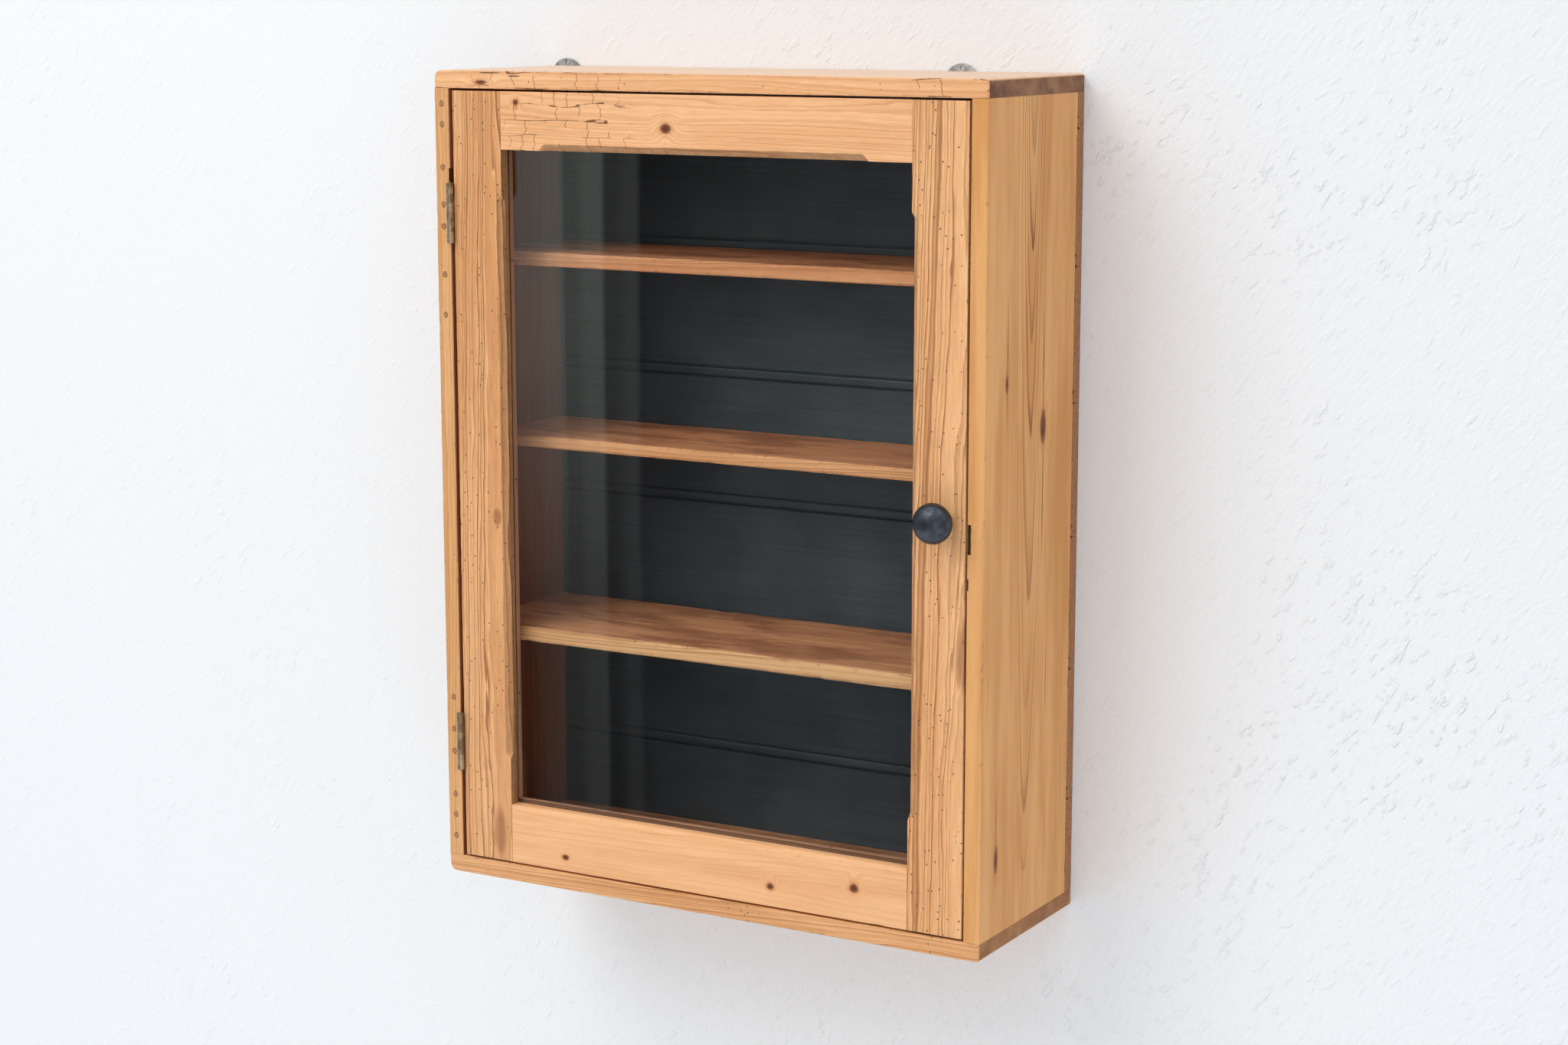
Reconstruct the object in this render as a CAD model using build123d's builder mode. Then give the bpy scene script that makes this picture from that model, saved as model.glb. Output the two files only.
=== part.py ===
from build123d import *
import os

# Wall-hung display case in old pine: a nailed casing with a beaded board back and three housed
# shelves, closed by a framed glass door on two butt hinges.
#
# Millimetres. The origin is the middle of the casing's underside, +X is to the right as one faces
# the door, +Y is towards the wall and +Z is up.

os.makedirs("parts", exist_ok=True)

# ---------------------------------------------------------------- casing
case_width = 520
case_height = 700
case_depth = 176
board_thickness = 15  # top and bottom boards
side_thickness = 14.5
left_end_round = 5  # worn left ends of the top and bottom boards
right_end_round = 2
floor_thickness = 12  # loose floor, which the door closes against
stop_clearance = 0.2

# back: beaded tongue-and-groove boards laid level
back_thickness = 12
back_board_face = 112  # face of a full board, tongue left out
lowest_back_board = 81
back_board_gap = 1.4
tongue_length = 5
tongue_thickness = 4
tongue_clearance = 0.2
back_bead_width = 8
quirk_width = 1.6
quirk_depth = 2.4

# shelves: each was cut from a different board
upper_shelf_thickness = 12.5
middle_shelf_thickness = 10.5
lower_shelf_thickness = 13.5
# how far the front edge of each shelf stands back from the closed door
upper_shelf_setback = 30
middle_shelf_setback = 30
lower_shelf_setback = 6
# how the four spaces between floor, shelves and top share the height that is left
bottom_space_share = 183
lower_space_share = 153
upper_space_share = 147
top_space_share = 139
shelf_front_round = 1.5

# old wear in the front edges of the sides
lock_notch_width = 3
lock_notch_height = 24
lock_notch_depth = 12
small_notch_width = 1.2
small_notch_height = 9.5
lock_notch_drop = 14  # from the knob's middle to the middle of the lock's notch
notch_spacing = 36  # between the middles of the two notches
plug_radius = 2.9
plug_depth = 2
plugs_below_top = (28, 45.5, 81.5, 113, 131.5, 172.5, 207)
plugs_above_bottom = (157.5, 129, 109, 70, 51.5, 32.5)

# ---------------------------------------------------------------- door
hinge_gap = 3.6
latch_gap = 1.8
level_gap = 1.8  # above and below the door
door_thickness = 18
stile_width = 49
top_rail_width = 48.5
bottom_rail_width = 54.5
tenon_length = 30
tenon_thickness = 6
tenon_shoulder = 8
tenon_clearance = 0.1
lip_thickness = 10.5  # wood in front of the glass
rebate_width = 7
chamfer_size = 5
chamfer_stop = 38
glass_thickness = 2
glass_clearance = 0.5
eased_edge = 0.8

# ---------------------------------------------------------------- hinges
hinge_length = 50.8
hinge_inset = 77.5  # from the door's end to the near end of the hinge
leaf_width = 12
leaf_thickness = 1.2
knuckle_radius = 3
knuckle_count = 5
knuckle_clearance = 0.2
pin_radius = 1.4
pin_running_clearance = 0.05
barrel_clearance = 0.3  # from the barrel to the casing's front
leaf_screw_spacing = 17
leaf_screw_stagger = 1.5

# ---------------------------------------------------------------- knob
knob_radius = 16.5
knob_head_depth = 25
knob_neck_radius = 6
knob_neck_length = 7
knob_foot_radius = 9
knob_foot_thickness = 2
knob_screw_radius = 2
knob_screw_reach = 13
knob_inset = 19  # from the door's edge to the knob's middle
knob_rise = 7  # above the middle of the door

# ---------------------------------------------------------------- catch
catch_length = 24
catch_width = 15
catch_depth = 13
catch_ear_length = 8
catch_ear_thickness = 3
catch_gap = 0.2
magnet_length = 20
magnet_width = 8
magnet_depth = 7
magnet_stand_out = 0.3
strike_length = 34
strike_width = 11
strike_thickness = 1.2

# ---------------------------------------------------------------- hanging plates
plate_width = 26
plate_thickness = 2
plate_rise = 6.5  # above the top of the casing
plate_drop = 14
plate_hole_radius = 2
plate_hole_height = 3.2  # above the top of the casing
left_plate_inset = 18  # from the casing's left end to the middle of the plate
right_plate_inset = 110
plate_screw_spacing = 16

# ---------------------------------------------------------------- fasteners
fit_clearance = 0.05  # round a nail, screw or pin in its hole
nail_radius = 1.1
nail_head_radius = 2.2
nail_head_height = 0.8
case_nail_length = 45
back_nail_length = 35
nail_front_inset = 25
nail_edge_inset = 20  # from the edge of a back board to its nails
screw_radius = 1.4
screw_head_radius = 2.4
screw_head_rim = 0.15
screw_slot = 0.6
leaf_screw_length = 10
plate_screw_length = 16
catch_screw_length = 10
strike_screw_length = 9
glazing_pin_radius = 0.6
glazing_pin_head_radius = 0.95
glazing_pin_length = 13

# ---------------------------------------------------------------- shared places
front = -case_depth / 2
wall = case_depth / 2
back_face = wall - back_thickness
top_face = case_height
top_underside = case_height - board_thickness
floor_top = board_thickness + floor_thickness
opening_half = case_width / 2 - side_thickness
side_middle = case_width / 2 - side_thickness / 2
housing_depth = side_thickness / 3

door_left = -opening_half + hinge_gap
door_right = opening_half - latch_gap
door_bottom = board_thickness + level_gap
door_top = top_underside - level_gap
door_back = front + door_thickness
rebate_face = front + lip_thickness
glass_back = rebate_face + glass_thickness
sight_left = door_left + stile_width
sight_right = door_right - stile_width
sight_bottom = door_bottom + bottom_rail_width
sight_top = door_top - top_rail_width

all_shares = bottom_space_share + lower_space_share + upper_space_share + top_space_share
shelf_stack = upper_shelf_thickness + middle_shelf_thickness + lower_shelf_thickness
clear_height = top_underside - floor_top - shelf_stack
lower_shelf_bottom = floor_top + clear_height * bottom_space_share / all_shares
lower_shelf_top = lower_shelf_bottom + lower_shelf_thickness
middle_shelf_bottom = lower_shelf_top + clear_height * lower_space_share / all_shares
middle_shelf_top = middle_shelf_bottom + middle_shelf_thickness
upper_shelf_bottom = middle_shelf_top + clear_height * upper_space_share / all_shares
upper_shelf_top = upper_shelf_bottom + upper_shelf_thickness
shelves = (
    ("upper_shelf", upper_shelf_bottom, upper_shelf_top, door_back + upper_shelf_setback),
    ("middle_shelf", middle_shelf_bottom, middle_shelf_top, door_back + middle_shelf_setback),
    ("lower_shelf", lower_shelf_bottom, lower_shelf_top, door_back + lower_shelf_setback),
)

hinge_x = -opening_half + hinge_gap / 2
hinge_y = front - knuckle_radius - barrel_clearance
upper_hinge_bottom = door_top - hinge_inset - hinge_length
lower_hinge_bottom = door_bottom + hinge_inset

knob_x = door_right - knob_inset
knob_z = (door_bottom + door_top) / 2 + knob_rise
lock_notch_z = knob_z - lock_notch_drop
catch_z = (lower_shelf_top + middle_shelf_bottom) / 2
strike_back = door_back + strike_thickness
strike_x = door_right - strike_width / 2 - eased_edge


def block(x_low, x_high, y_low, y_high, z_low, z_high, mode=Mode.ADD):
    """A rectangular block between two corners, in the builder that is open."""
    with Locations((x_low, y_low, z_low)):
        Box(
            x_high - x_low,
            y_high - y_low,
            z_high - z_low,
            align=(Align.MIN, Align.MIN, Align.MIN),
            mode=mode,
        )


def outer_front_edge(piece, direction):
    """The upright front edge of a side or stile, at the end direction (-1 or +1 along X) names."""
    front_edges = piece.faces().sort_by(Axis.Y)[0].edges().filter_by(Axis.Z).sort_by(Axis.X)
    return front_edges[0] if direction < 0 else front_edges[-1]


def cross_plane(y):
    """An upright plane across the case at depth y, with X to the right and Z up."""
    return Plane.XZ.offset(-y)


# ---------------------------------------------------------------- nails and screws
def nail(head_radius, head_height, shank_radius, length, grow=0):
    """A round nail, or its hole where grow is a clearance. Its head is level with Z = 0."""
    with BuildPart() as shaft:
        with BuildSketch(Plane.XZ):
            with BuildLine():
                Polyline(
                    (0, grow),
                    (head_radius + grow, grow),
                    (head_radius + grow, -head_height - grow),
                    (shank_radius + grow, -head_height - grow),
                    (shank_radius + grow, -length + 2 * shank_radius),
                    (0, -length - grow),
                    (0, grow),
                )
            make_face()
        revolve(axis=Axis.Z)
    return shaft.part


def wood_screw(length, grow=0):
    """A slotted countersunk screw, or its hole where grow is a clearance. Its head is level with Z = 0."""
    head_height = screw_head_radius - screw_radius + screw_head_rim
    with BuildPart() as shaft:
        with BuildSketch(Plane.XZ):
            with BuildLine():
                Polyline(
                    (0, grow),
                    (screw_head_radius + grow, grow),
                    (screw_head_radius + grow, -screw_head_rim),
                    (screw_radius + grow, -head_height),
                    (screw_radius + grow, -length + 2 * screw_radius),
                    (0, -length - grow),
                    (0, grow),
                )
            make_face()
        revolve(axis=Axis.Z)
        if grow == 0:
            Box(
                2 * screw_head_radius,
                screw_slot,
                screw_slot,
                align=(Align.CENTER, Align.CENTER, Align.MAX),
                mode=Mode.SUBTRACT,
            )
    return shaft.part


def place(shape, seats, mode=Mode.ADD):
    """Add a shape at every seat, or cut it away there, in the builder that is open."""
    with Locations(*seats):
        add(shape, mode=mode)


def case_nail_shape(length, grow=0):
    """A casing nail of one length, or its hole where grow is a clearance."""
    return nail(nail_head_radius, nail_head_height, nail_radius, length, grow)


def glazing_pin_shape(grow=0):
    """A glazing pin, or its hole where grow is a clearance."""
    return nail(
        glazing_pin_head_radius,
        glazing_pin_radius,
        glazing_pin_radius,
        glazing_pin_length,
        grow,
    )


case_nail = case_nail_shape(case_nail_length)
case_nail_hole = case_nail_shape(case_nail_length, fit_clearance)
back_nail = case_nail_shape(back_nail_length)
back_nail_hole = case_nail_shape(back_nail_length, fit_clearance)
glazing_pin = glazing_pin_shape()
glazing_pin_hole = glazing_pin_shape(fit_clearance)
leaf_screw = wood_screw(leaf_screw_length)
leaf_screw_hole = wood_screw(leaf_screw_length, fit_clearance)
plate_screw = wood_screw(plate_screw_length)
plate_screw_hole = wood_screw(plate_screw_length, fit_clearance)
catch_screw = wood_screw(catch_screw_length)
catch_screw_hole = wood_screw(catch_screw_length, fit_clearance)
strike_screw = wood_screw(strike_screw_length)
strike_screw_hole = wood_screw(strike_screw_length, fit_clearance)

# Each row of case nails stays in front of the tips of the nails that hold the back.
nail_rear = back_face - (back_nail_length - back_thickness) - nail_front_inset / 2
nail_rows = (
    front + nail_front_inset,
    (front + nail_front_inset + nail_rear) / 2,
    nail_rear,
)
top_nail_seats = [
    Plane(origin=(x, y, top_face), z_dir=(0, 0, 1)) for x in (-side_middle, side_middle) for y in nail_rows
]
bottom_nail_seats = [
    Plane(origin=(x, y, 0), z_dir=(0, 0, -1)) for x in (-side_middle, side_middle) for y in nail_rows
]

# The lowest back board is a rip, full boards follow, and the last one takes what is left.
narrowest_back_board = 2 * back_bead_width
back_board_edges = [board_thickness, board_thickness + lowest_back_board]
while top_underside - back_board_edges[-1] > back_board_face + narrowest_back_board:
    back_board_edges.append(back_board_edges[-1] + back_board_face)
back_board_edges.append(top_underside)


def back_nail_heights(low, high):
    """Heights of the nails in one back board: two, or one where the board is narrow."""
    if high - low > 3 * nail_edge_inset:
        return [low + nail_edge_inset, high - nail_edge_inset]
    return [(low + high) / 2]


back_nail_seats = [
    Plane(origin=(x, wall, z), z_dir=(0, 1, 0))
    for low, high in zip(back_board_edges, back_board_edges[1:])
    for z in back_nail_heights(low, high)
    for x in (-side_middle, side_middle)
]

plate_middles = (
    -case_width / 2 + left_plate_inset,
    case_width / 2 - right_plate_inset,
)
plate_screw_z = top_face - board_thickness / 2
plate_screw_seats = [
    Plane(origin=(x + step, wall, plate_screw_z), z_dir=(0, 1, 0))
    for x in plate_middles
    for step in (-plate_screw_spacing / 2, plate_screw_spacing / 2)
]


def leaf_screw_places(bottom):
    """Height and depth of each screw in a hinge leaf, staggered along its length."""
    middle = bottom + hinge_length / 2
    depth = front + leaf_width / 2
    return [
        (middle - leaf_screw_spacing, depth + leaf_screw_stagger),
        (middle, depth - leaf_screw_stagger),
        (middle + leaf_screw_spacing, depth + leaf_screw_stagger),
    ]


all_leaf_screws = leaf_screw_places(upper_hinge_bottom) + leaf_screw_places(lower_hinge_bottom)
case_leaf_face = -opening_half + leaf_thickness
door_leaf_face = door_left - leaf_thickness
case_leaf_seats = [Plane(origin=(case_leaf_face, y, z), z_dir=(1, 0, 0)) for z, y in all_leaf_screws]
door_leaf_seats = [Plane(origin=(door_leaf_face, y, z), z_dir=(-1, 0, 0)) for z, y in all_leaf_screws]

catch_front = strike_back + catch_gap + magnet_stand_out
catch_middle_y = catch_front + catch_depth / 2
catch_seats = [
    Plane(
        origin=(opening_half - catch_ear_thickness, catch_middle_y, catch_z + step),
        z_dir=(-1, 0, 0),
    )
    for step in (
        -(catch_length + catch_ear_length) / 2,
        (catch_length + catch_ear_length) / 2,
    )
]
strike_seats = [
    Plane(origin=(strike_x, strike_back, catch_z + step), z_dir=(0, 1, 0))
    for step in (-strike_length / 3, strike_length / 3)
]

# Glazing pins run outwards from the sight line, through the beads and into the frame.
pin_depth = (glass_back + door_back) / 2
pin_heights = [sight_bottom + (sight_top - sight_bottom) * share for share in (1 / 6, 1 / 2, 5 / 6)]
pin_offsets = [sight_left + (sight_right - sight_left) * share for share in (1 / 5, 4 / 5)]
left_pin_seats = [Plane(origin=(sight_left, pin_depth, z), z_dir=(1, 0, 0)) for z in pin_heights]
right_pin_seats = [Plane(origin=(sight_right, pin_depth, z), z_dir=(-1, 0, 0)) for z in pin_heights]
bottom_pin_seats = [Plane(origin=(x, pin_depth, sight_bottom), z_dir=(0, 0, 1)) for x in pin_offsets]
top_pin_seats = [Plane(origin=(x, pin_depth, sight_top), z_dir=(0, 0, -1)) for x in pin_offsets]

plug_x = -side_middle
plug_heights = [top_face - drop for drop in plugs_below_top] + list(plugs_above_bottom)
plug_seats = [Plane(origin=(plug_x, front, z), z_dir=(0, -1, 0)) for z in plug_heights]


# ---------------------------------------------------------------- top and bottom boards
def end_edges(board, height):
    """The two short edges of a board at one height, sorted from left to right."""
    level_edges = [edge for edge in board.edges().filter_by(Axis.Y) if abs(edge.center().Z - height) < eased_edge]
    return ShapeList(level_edges).sort_by(Axis.X)


with BuildPart() as top_board:
    block(-case_width / 2, case_width / 2, front, wall, top_underside, top_face)
    fillet(end_edges(top_board, top_face)[0], radius=left_end_round)
    fillet(end_edges(top_board, top_face)[-1], radius=right_end_round)
    fillet(
        top_board.faces().sort_by(Axis.Y)[0].edges().filter_by(Axis.X).sort_by(Axis.Z)[-1],
        radius=eased_edge,
    )
    for plate_x in plate_middles:
        block(
            plate_x - plate_width / 2 - fit_clearance,
            plate_x + plate_width / 2 + fit_clearance,
            wall - plate_thickness,
            wall,
            top_face - plate_drop - fit_clearance,
            top_face,
            mode=Mode.SUBTRACT,
        )
    place(case_nail_hole, top_nail_seats, mode=Mode.SUBTRACT)
    place(plate_screw_hole, plate_screw_seats, mode=Mode.SUBTRACT)
top_board.part.label = "top_board"
export_step(top_board.part, "parts/top_board.step")

with BuildPart() as bottom_board:
    block(-case_width / 2, case_width / 2, front, wall, 0, board_thickness)
    fillet(end_edges(bottom_board, 0)[0], radius=left_end_round)
    fillet(end_edges(bottom_board, 0)[-1], radius=right_end_round)
    fillet(
        bottom_board.faces().sort_by(Axis.Y)[0].edges().filter_by(Axis.X).sort_by(Axis.Z)[0],
        radius=eased_edge,
    )
    place(case_nail_hole, bottom_nail_seats, mode=Mode.SUBTRACT)
bottom_board.part.label = "bottom_board"
export_step(bottom_board.part, "parts/bottom_board.step")


# ---------------------------------------------------------------- sides
def side_blank(inner, outer):
    """Cut a side between its two faces, with its shelf housings and the holes of its nails."""
    block(
        min(inner, outer),
        max(inner, outer),
        front,
        back_face,
        board_thickness,
        top_underside,
    )
    housing_end = inner + housing_depth * (1 if outer > inner else -1)
    for _, low, high, shelf_front in shelves:
        block(
            min(inner, housing_end),
            max(inner, housing_end),
            shelf_front,
            back_face,
            low,
            high,
            mode=Mode.SUBTRACT,
        )
    place(case_nail_hole, top_nail_seats + bottom_nail_seats, mode=Mode.SUBTRACT)
    place(back_nail_hole, back_nail_seats, mode=Mode.SUBTRACT)


with BuildPart() as left_side:
    side_blank(-opening_half, -case_width / 2)
    fillet(outer_front_edge(left_side, -1), radius=eased_edge)
    # the hinge mortise of an earlier door, just above the upper hinge
    block(
        -opening_half - small_notch_width,
        -opening_half,
        front,
        front + leaf_width,
        upper_hinge_bottom + hinge_length,
        upper_hinge_bottom + hinge_length + leaf_width,
        mode=Mode.SUBTRACT,
    )
    place(leaf_screw_hole, case_leaf_seats, mode=Mode.SUBTRACT)
    with Locations(*plug_seats):
        Cylinder(
            plug_radius,
            plug_depth,
            align=(Align.CENTER, Align.CENTER, Align.MAX),
            mode=Mode.SUBTRACT,
        )
left_side.part.label = "left_side"
export_step(left_side.part, "parts/left_side.step")

with BuildPart() as right_side:
    side_blank(opening_half, case_width / 2)
    fillet(outer_front_edge(right_side, 1), radius=eased_edge)
    # where the bolt of an old lock went, and a smaller nick under it
    block(
        opening_half,
        opening_half + lock_notch_width,
        front,
        front + lock_notch_depth,
        lock_notch_z - lock_notch_height / 2,
        lock_notch_z + lock_notch_height / 2,
        mode=Mode.SUBTRACT,
    )
    block(
        opening_half,
        opening_half + small_notch_width,
        front,
        front + lock_notch_depth,
        lock_notch_z - notch_spacing - small_notch_height / 2,
        lock_notch_z - notch_spacing + small_notch_height / 2,
        mode=Mode.SUBTRACT,
    )
    place(catch_screw_hole, catch_seats, mode=Mode.SUBTRACT)
right_side.part.label = "right_side"
export_step(right_side.part, "parts/right_side.step")

with BuildPart() as side_plugs:
    with Locations(*plug_seats):
        Cylinder(plug_radius, plug_depth, align=(Align.CENTER, Align.CENTER, Align.MAX))
side_plugs.part.label = "side_plugs"
export_step(side_plugs.part, "parts/side_plugs.step")

# ---------------------------------------------------------------- floor and shelves
with BuildPart() as floor_board:
    block(
        -opening_half,
        opening_half,
        door_back + stop_clearance,
        back_face,
        board_thickness,
        floor_top,
    )
floor_board.part.label = "floor_board"
export_step(floor_board.part, "parts/floor_board.step")

for shelf_name, shelf_low, shelf_high, shelf_front in shelves:
    with BuildPart() as shelf:
        block(
            -opening_half - housing_depth,
            opening_half + housing_depth,
            shelf_front,
            back_face,
            shelf_low,
            shelf_high,
        )
        fillet(
            shelf.faces().sort_by(Axis.Y)[0].edges().filter_by(Axis.X),
            radius=shelf_front_round,
        )
    shelf.part.label = shelf_name
    export_step(shelf.part, f"parts/{shelf_name}.step")


# ---------------------------------------------------------------- back
def back_board_profile(low, high, beaded, tongued):
    """Section of a back board: bead and groove at its lower edge, tongue at its upper edge."""
    board_low = low + back_board_gap / 2 if beaded else low
    board_high = high - back_board_gap / 2 if tongued else high
    groove_depth = tongue_length - back_board_gap + tongue_clearance
    middle = (back_face + wall) / 2
    with BuildSketch(Plane.YZ.offset(-case_width / 2)) as profile:
        with Locations((back_face, board_low)):
            Rectangle(back_thickness, board_high - board_low, align=(Align.MIN, Align.MIN))
        if tongued:
            with Locations((middle, board_high)):
                Rectangle(tongue_thickness, tongue_length, align=(Align.CENTER, Align.MIN))
        if beaded:
            with Locations((middle, board_low)):
                Rectangle(
                    tongue_thickness + tongue_clearance,
                    groove_depth,
                    align=(Align.CENTER, Align.MIN),
                    mode=Mode.SUBTRACT,
                )
            with Locations((back_face, board_low + back_bead_width)):
                Rectangle(
                    quirk_depth,
                    quirk_width,
                    align=(Align.MIN, Align.MIN),
                    mode=Mode.SUBTRACT,
                )
    return profile.sketch


with BuildPart() as back_nails:
    place(back_nail, back_nail_seats)
back_nails.part.label = "back_nails"
export_step(back_nails.part, "parts/back_nails.step")

last_back_board = len(back_board_edges) - 1
for number in range(1, last_back_board + 1):
    board_low_edge = back_board_edges[number - 1]
    board_high_edge = back_board_edges[number]
    has_bead = number > 1
    has_tongue = number < last_back_board
    with BuildPart() as back_board:
        extrude(
            back_board_profile(board_low_edge, board_high_edge, has_bead, has_tongue),
            amount=case_width,
        )
        if has_bead:
            bead_low = board_low_edge + back_board_gap / 2
            bead_edges = [
                edge
                for edge in back_board.edges().filter_by(Axis.X)
                if abs(edge.center().Y - back_face) < eased_edge
                and bead_low - eased_edge < edge.center().Z < bead_low + back_bead_width + eased_edge
            ]
            fillet(bead_edges, radius=0.95 * quirk_depth)
        place(back_nail_hole, back_nail_seats, mode=Mode.SUBTRACT)
    back_board.part.label = f"back_board_{number}"
    export_step(back_board.part, f"parts/back_board_{number}.step")

with BuildPart() as casing_nails:
    place(case_nail, top_nail_seats + bottom_nail_seats)
casing_nails.part.label = "casing_nails"
export_step(casing_nails.part, "parts/casing_nails.step")

# ---------------------------------------------------------------- hanging plates
for plate_name, plate_x in zip(("left_hanging_plate", "right_hanging_plate"), plate_middles):
    with BuildPart() as hanging_plate:
        with BuildSketch(cross_plane(wall - plate_thickness)):
            with BuildLine():
                ThreePointArc(
                    (plate_x - plate_width / 2, top_face),
                    (plate_x, top_face + plate_rise),
                    (plate_x + plate_width / 2, top_face),
                )
                Polyline(
                    (plate_x + plate_width / 2, top_face),
                    (plate_x + plate_width / 2, top_face - plate_drop),
                    (plate_x - plate_width / 2, top_face - plate_drop),
                    (plate_x - plate_width / 2, top_face),
                )
            make_face()
            with Locations((plate_x, top_face + plate_hole_height)):
                Circle(plate_hole_radius, mode=Mode.SUBTRACT)
        extrude(amount=-plate_thickness)
        place(plate_screw_hole, plate_screw_seats, mode=Mode.SUBTRACT)
    hanging_plate.part.label = plate_name
    export_step(hanging_plate.part, f"parts/{plate_name}.step")

with BuildPart() as hanging_plate_screws:
    place(plate_screw, plate_screw_seats)
hanging_plate_screws.part.label = "hanging_plate_screws"
export_step(hanging_plate_screws.part, "parts/hanging_plate_screws.step")


# ---------------------------------------------------------------- door frame
def upright_chamfer(edge, into_wood):
    """Cut the stopped chamfer on a stile's inner front edge. into_wood is -1 or +1 along X."""
    low = sight_bottom + chamfer_stop
    high = sight_top - chamfer_stop
    with BuildSketch(cross_plane(front)) as outline:
        with BuildLine():
            Polyline(
                (edge + into_wood * chamfer_size, low + chamfer_size),
                (edge + into_wood * chamfer_size, high - chamfer_size),
                (edge - into_wood * 2 * chamfer_size, high + 2 * chamfer_size),
                (edge - into_wood * 2 * chamfer_size, low - 2 * chamfer_size),
                close=True,
            )
        make_face()
    extrude(outline.sketch, amount=-chamfer_size, taper=45, mode=Mode.SUBTRACT)


def level_chamfer(edge, into_wood):
    """Cut the stopped chamfer on a rail's inner front edge. into_wood is -1 or +1 along Z."""
    low = sight_left + chamfer_stop
    high = sight_right - chamfer_stop
    with BuildSketch(cross_plane(front)) as outline:
        with BuildLine():
            Polyline(
                (low + chamfer_size, edge + into_wood * chamfer_size),
                (high - chamfer_size, edge + into_wood * chamfer_size),
                (high + 2 * chamfer_size, edge - into_wood * 2 * chamfer_size),
                (low - 2 * chamfer_size, edge - into_wood * 2 * chamfer_size),
                close=True,
            )
        make_face()
    extrude(outline.sketch, amount=-chamfer_size, taper=45, mode=Mode.SUBTRACT)


tenon_front = front + (lip_thickness - tenon_thickness) / 2
tenon_heights = (
    (door_bottom + tenon_shoulder, sight_bottom - tenon_shoulder),
    (sight_top + tenon_shoulder, door_top - tenon_shoulder),
)


def stile_blank(edge, outer):
    """Cut a stile between its inner edge and its outer edge, with mortises and glass rebate."""
    into_wood = 1 if outer > edge else -1
    block(min(edge, outer), max(edge, outer), front, door_back, door_bottom, door_top)
    rebate_end = edge + into_wood * rebate_width
    block(
        min(edge, rebate_end),
        max(edge, rebate_end),
        rebate_face,
        door_back,
        sight_bottom - rebate_width,
        sight_top + rebate_width,
        mode=Mode.SUBTRACT,
    )
    mortise_end = edge + into_wood * (tenon_length + tenon_clearance)
    for low, high in tenon_heights:
        block(
            min(edge, mortise_end),
            max(edge, mortise_end),
            tenon_front - tenon_clearance,
            tenon_front + tenon_thickness + tenon_clearance,
            low - tenon_clearance,
            high + tenon_clearance,
            mode=Mode.SUBTRACT,
        )
    upright_chamfer(edge, into_wood)


with BuildPart() as door_left_stile:
    stile_blank(sight_left, door_left)
    chamfer(outer_front_edge(door_left_stile, -1), length=eased_edge)
    place(leaf_screw_hole, door_leaf_seats, mode=Mode.SUBTRACT)
    place(glazing_pin_hole, left_pin_seats, mode=Mode.SUBTRACT)
door_left_stile.part.label = "door_left_stile"
export_step(door_left_stile.part, "parts/door_left_stile.step")

with BuildPart() as door_right_stile:
    stile_blank(sight_right, door_right)
    chamfer(outer_front_edge(door_right_stile, 1), length=eased_edge)
    with Locations(Plane(origin=(knob_x, front, knob_z), z_dir=(0, -1, 0))):
        Cylinder(
            knob_screw_radius + 2 * fit_clearance,
            door_thickness,
            align=(Align.CENTER, Align.CENTER, Align.MAX),
            mode=Mode.SUBTRACT,
        )
    place(strike_screw_hole, strike_seats, mode=Mode.SUBTRACT)
    place(glazing_pin_hole, right_pin_seats, mode=Mode.SUBTRACT)
door_right_stile.part.label = "door_right_stile"
export_step(door_right_stile.part, "parts/door_right_stile.step")


def rail_blank(low, high, rebate_low, rebate_high, tenon_low, tenon_high):
    """Cut a rail between the stiles, with a tenon at each end and the glass rebate."""
    block(sight_left, sight_right, front, door_back, low, high)
    block(
        sight_left,
        sight_right,
        rebate_face,
        door_back,
        rebate_low,
        rebate_high,
        mode=Mode.SUBTRACT,
    )
    block(
        sight_left - tenon_length,
        sight_right + tenon_length,
        tenon_front,
        tenon_front + tenon_thickness,
        tenon_low,
        tenon_high,
    )


with BuildPart() as door_top_rail:
    rail_blank(sight_top, door_top, sight_top, sight_top + rebate_width, *tenon_heights[1])
    level_chamfer(sight_top, 1)
    place(glazing_pin_hole, top_pin_seats, mode=Mode.SUBTRACT)
door_top_rail.part.label = "door_top_rail"
export_step(door_top_rail.part, "parts/door_top_rail.step")

with BuildPart() as door_bottom_rail:
    rail_blank(
        door_bottom,
        sight_bottom,
        sight_bottom - rebate_width,
        sight_bottom,
        *tenon_heights[0],
    )
    level_chamfer(sight_bottom, -1)
    place(glazing_pin_hole, bottom_pin_seats, mode=Mode.SUBTRACT)
door_bottom_rail.part.label = "door_bottom_rail"
export_step(door_bottom_rail.part, "parts/door_bottom_rail.step")

# ---------------------------------------------------------------- glass and its beads
glass_reach = rebate_width - glass_clearance
with BuildPart() as glass_pane:
    block(
        sight_left - glass_reach,
        sight_right + glass_reach,
        rebate_face,
        glass_back,
        sight_bottom - glass_reach,
        sight_top + glass_reach,
    )
glass_pane.part.label = "glass_pane"
export_step(glass_pane.part, "parts/glass_pane.step")

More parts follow.
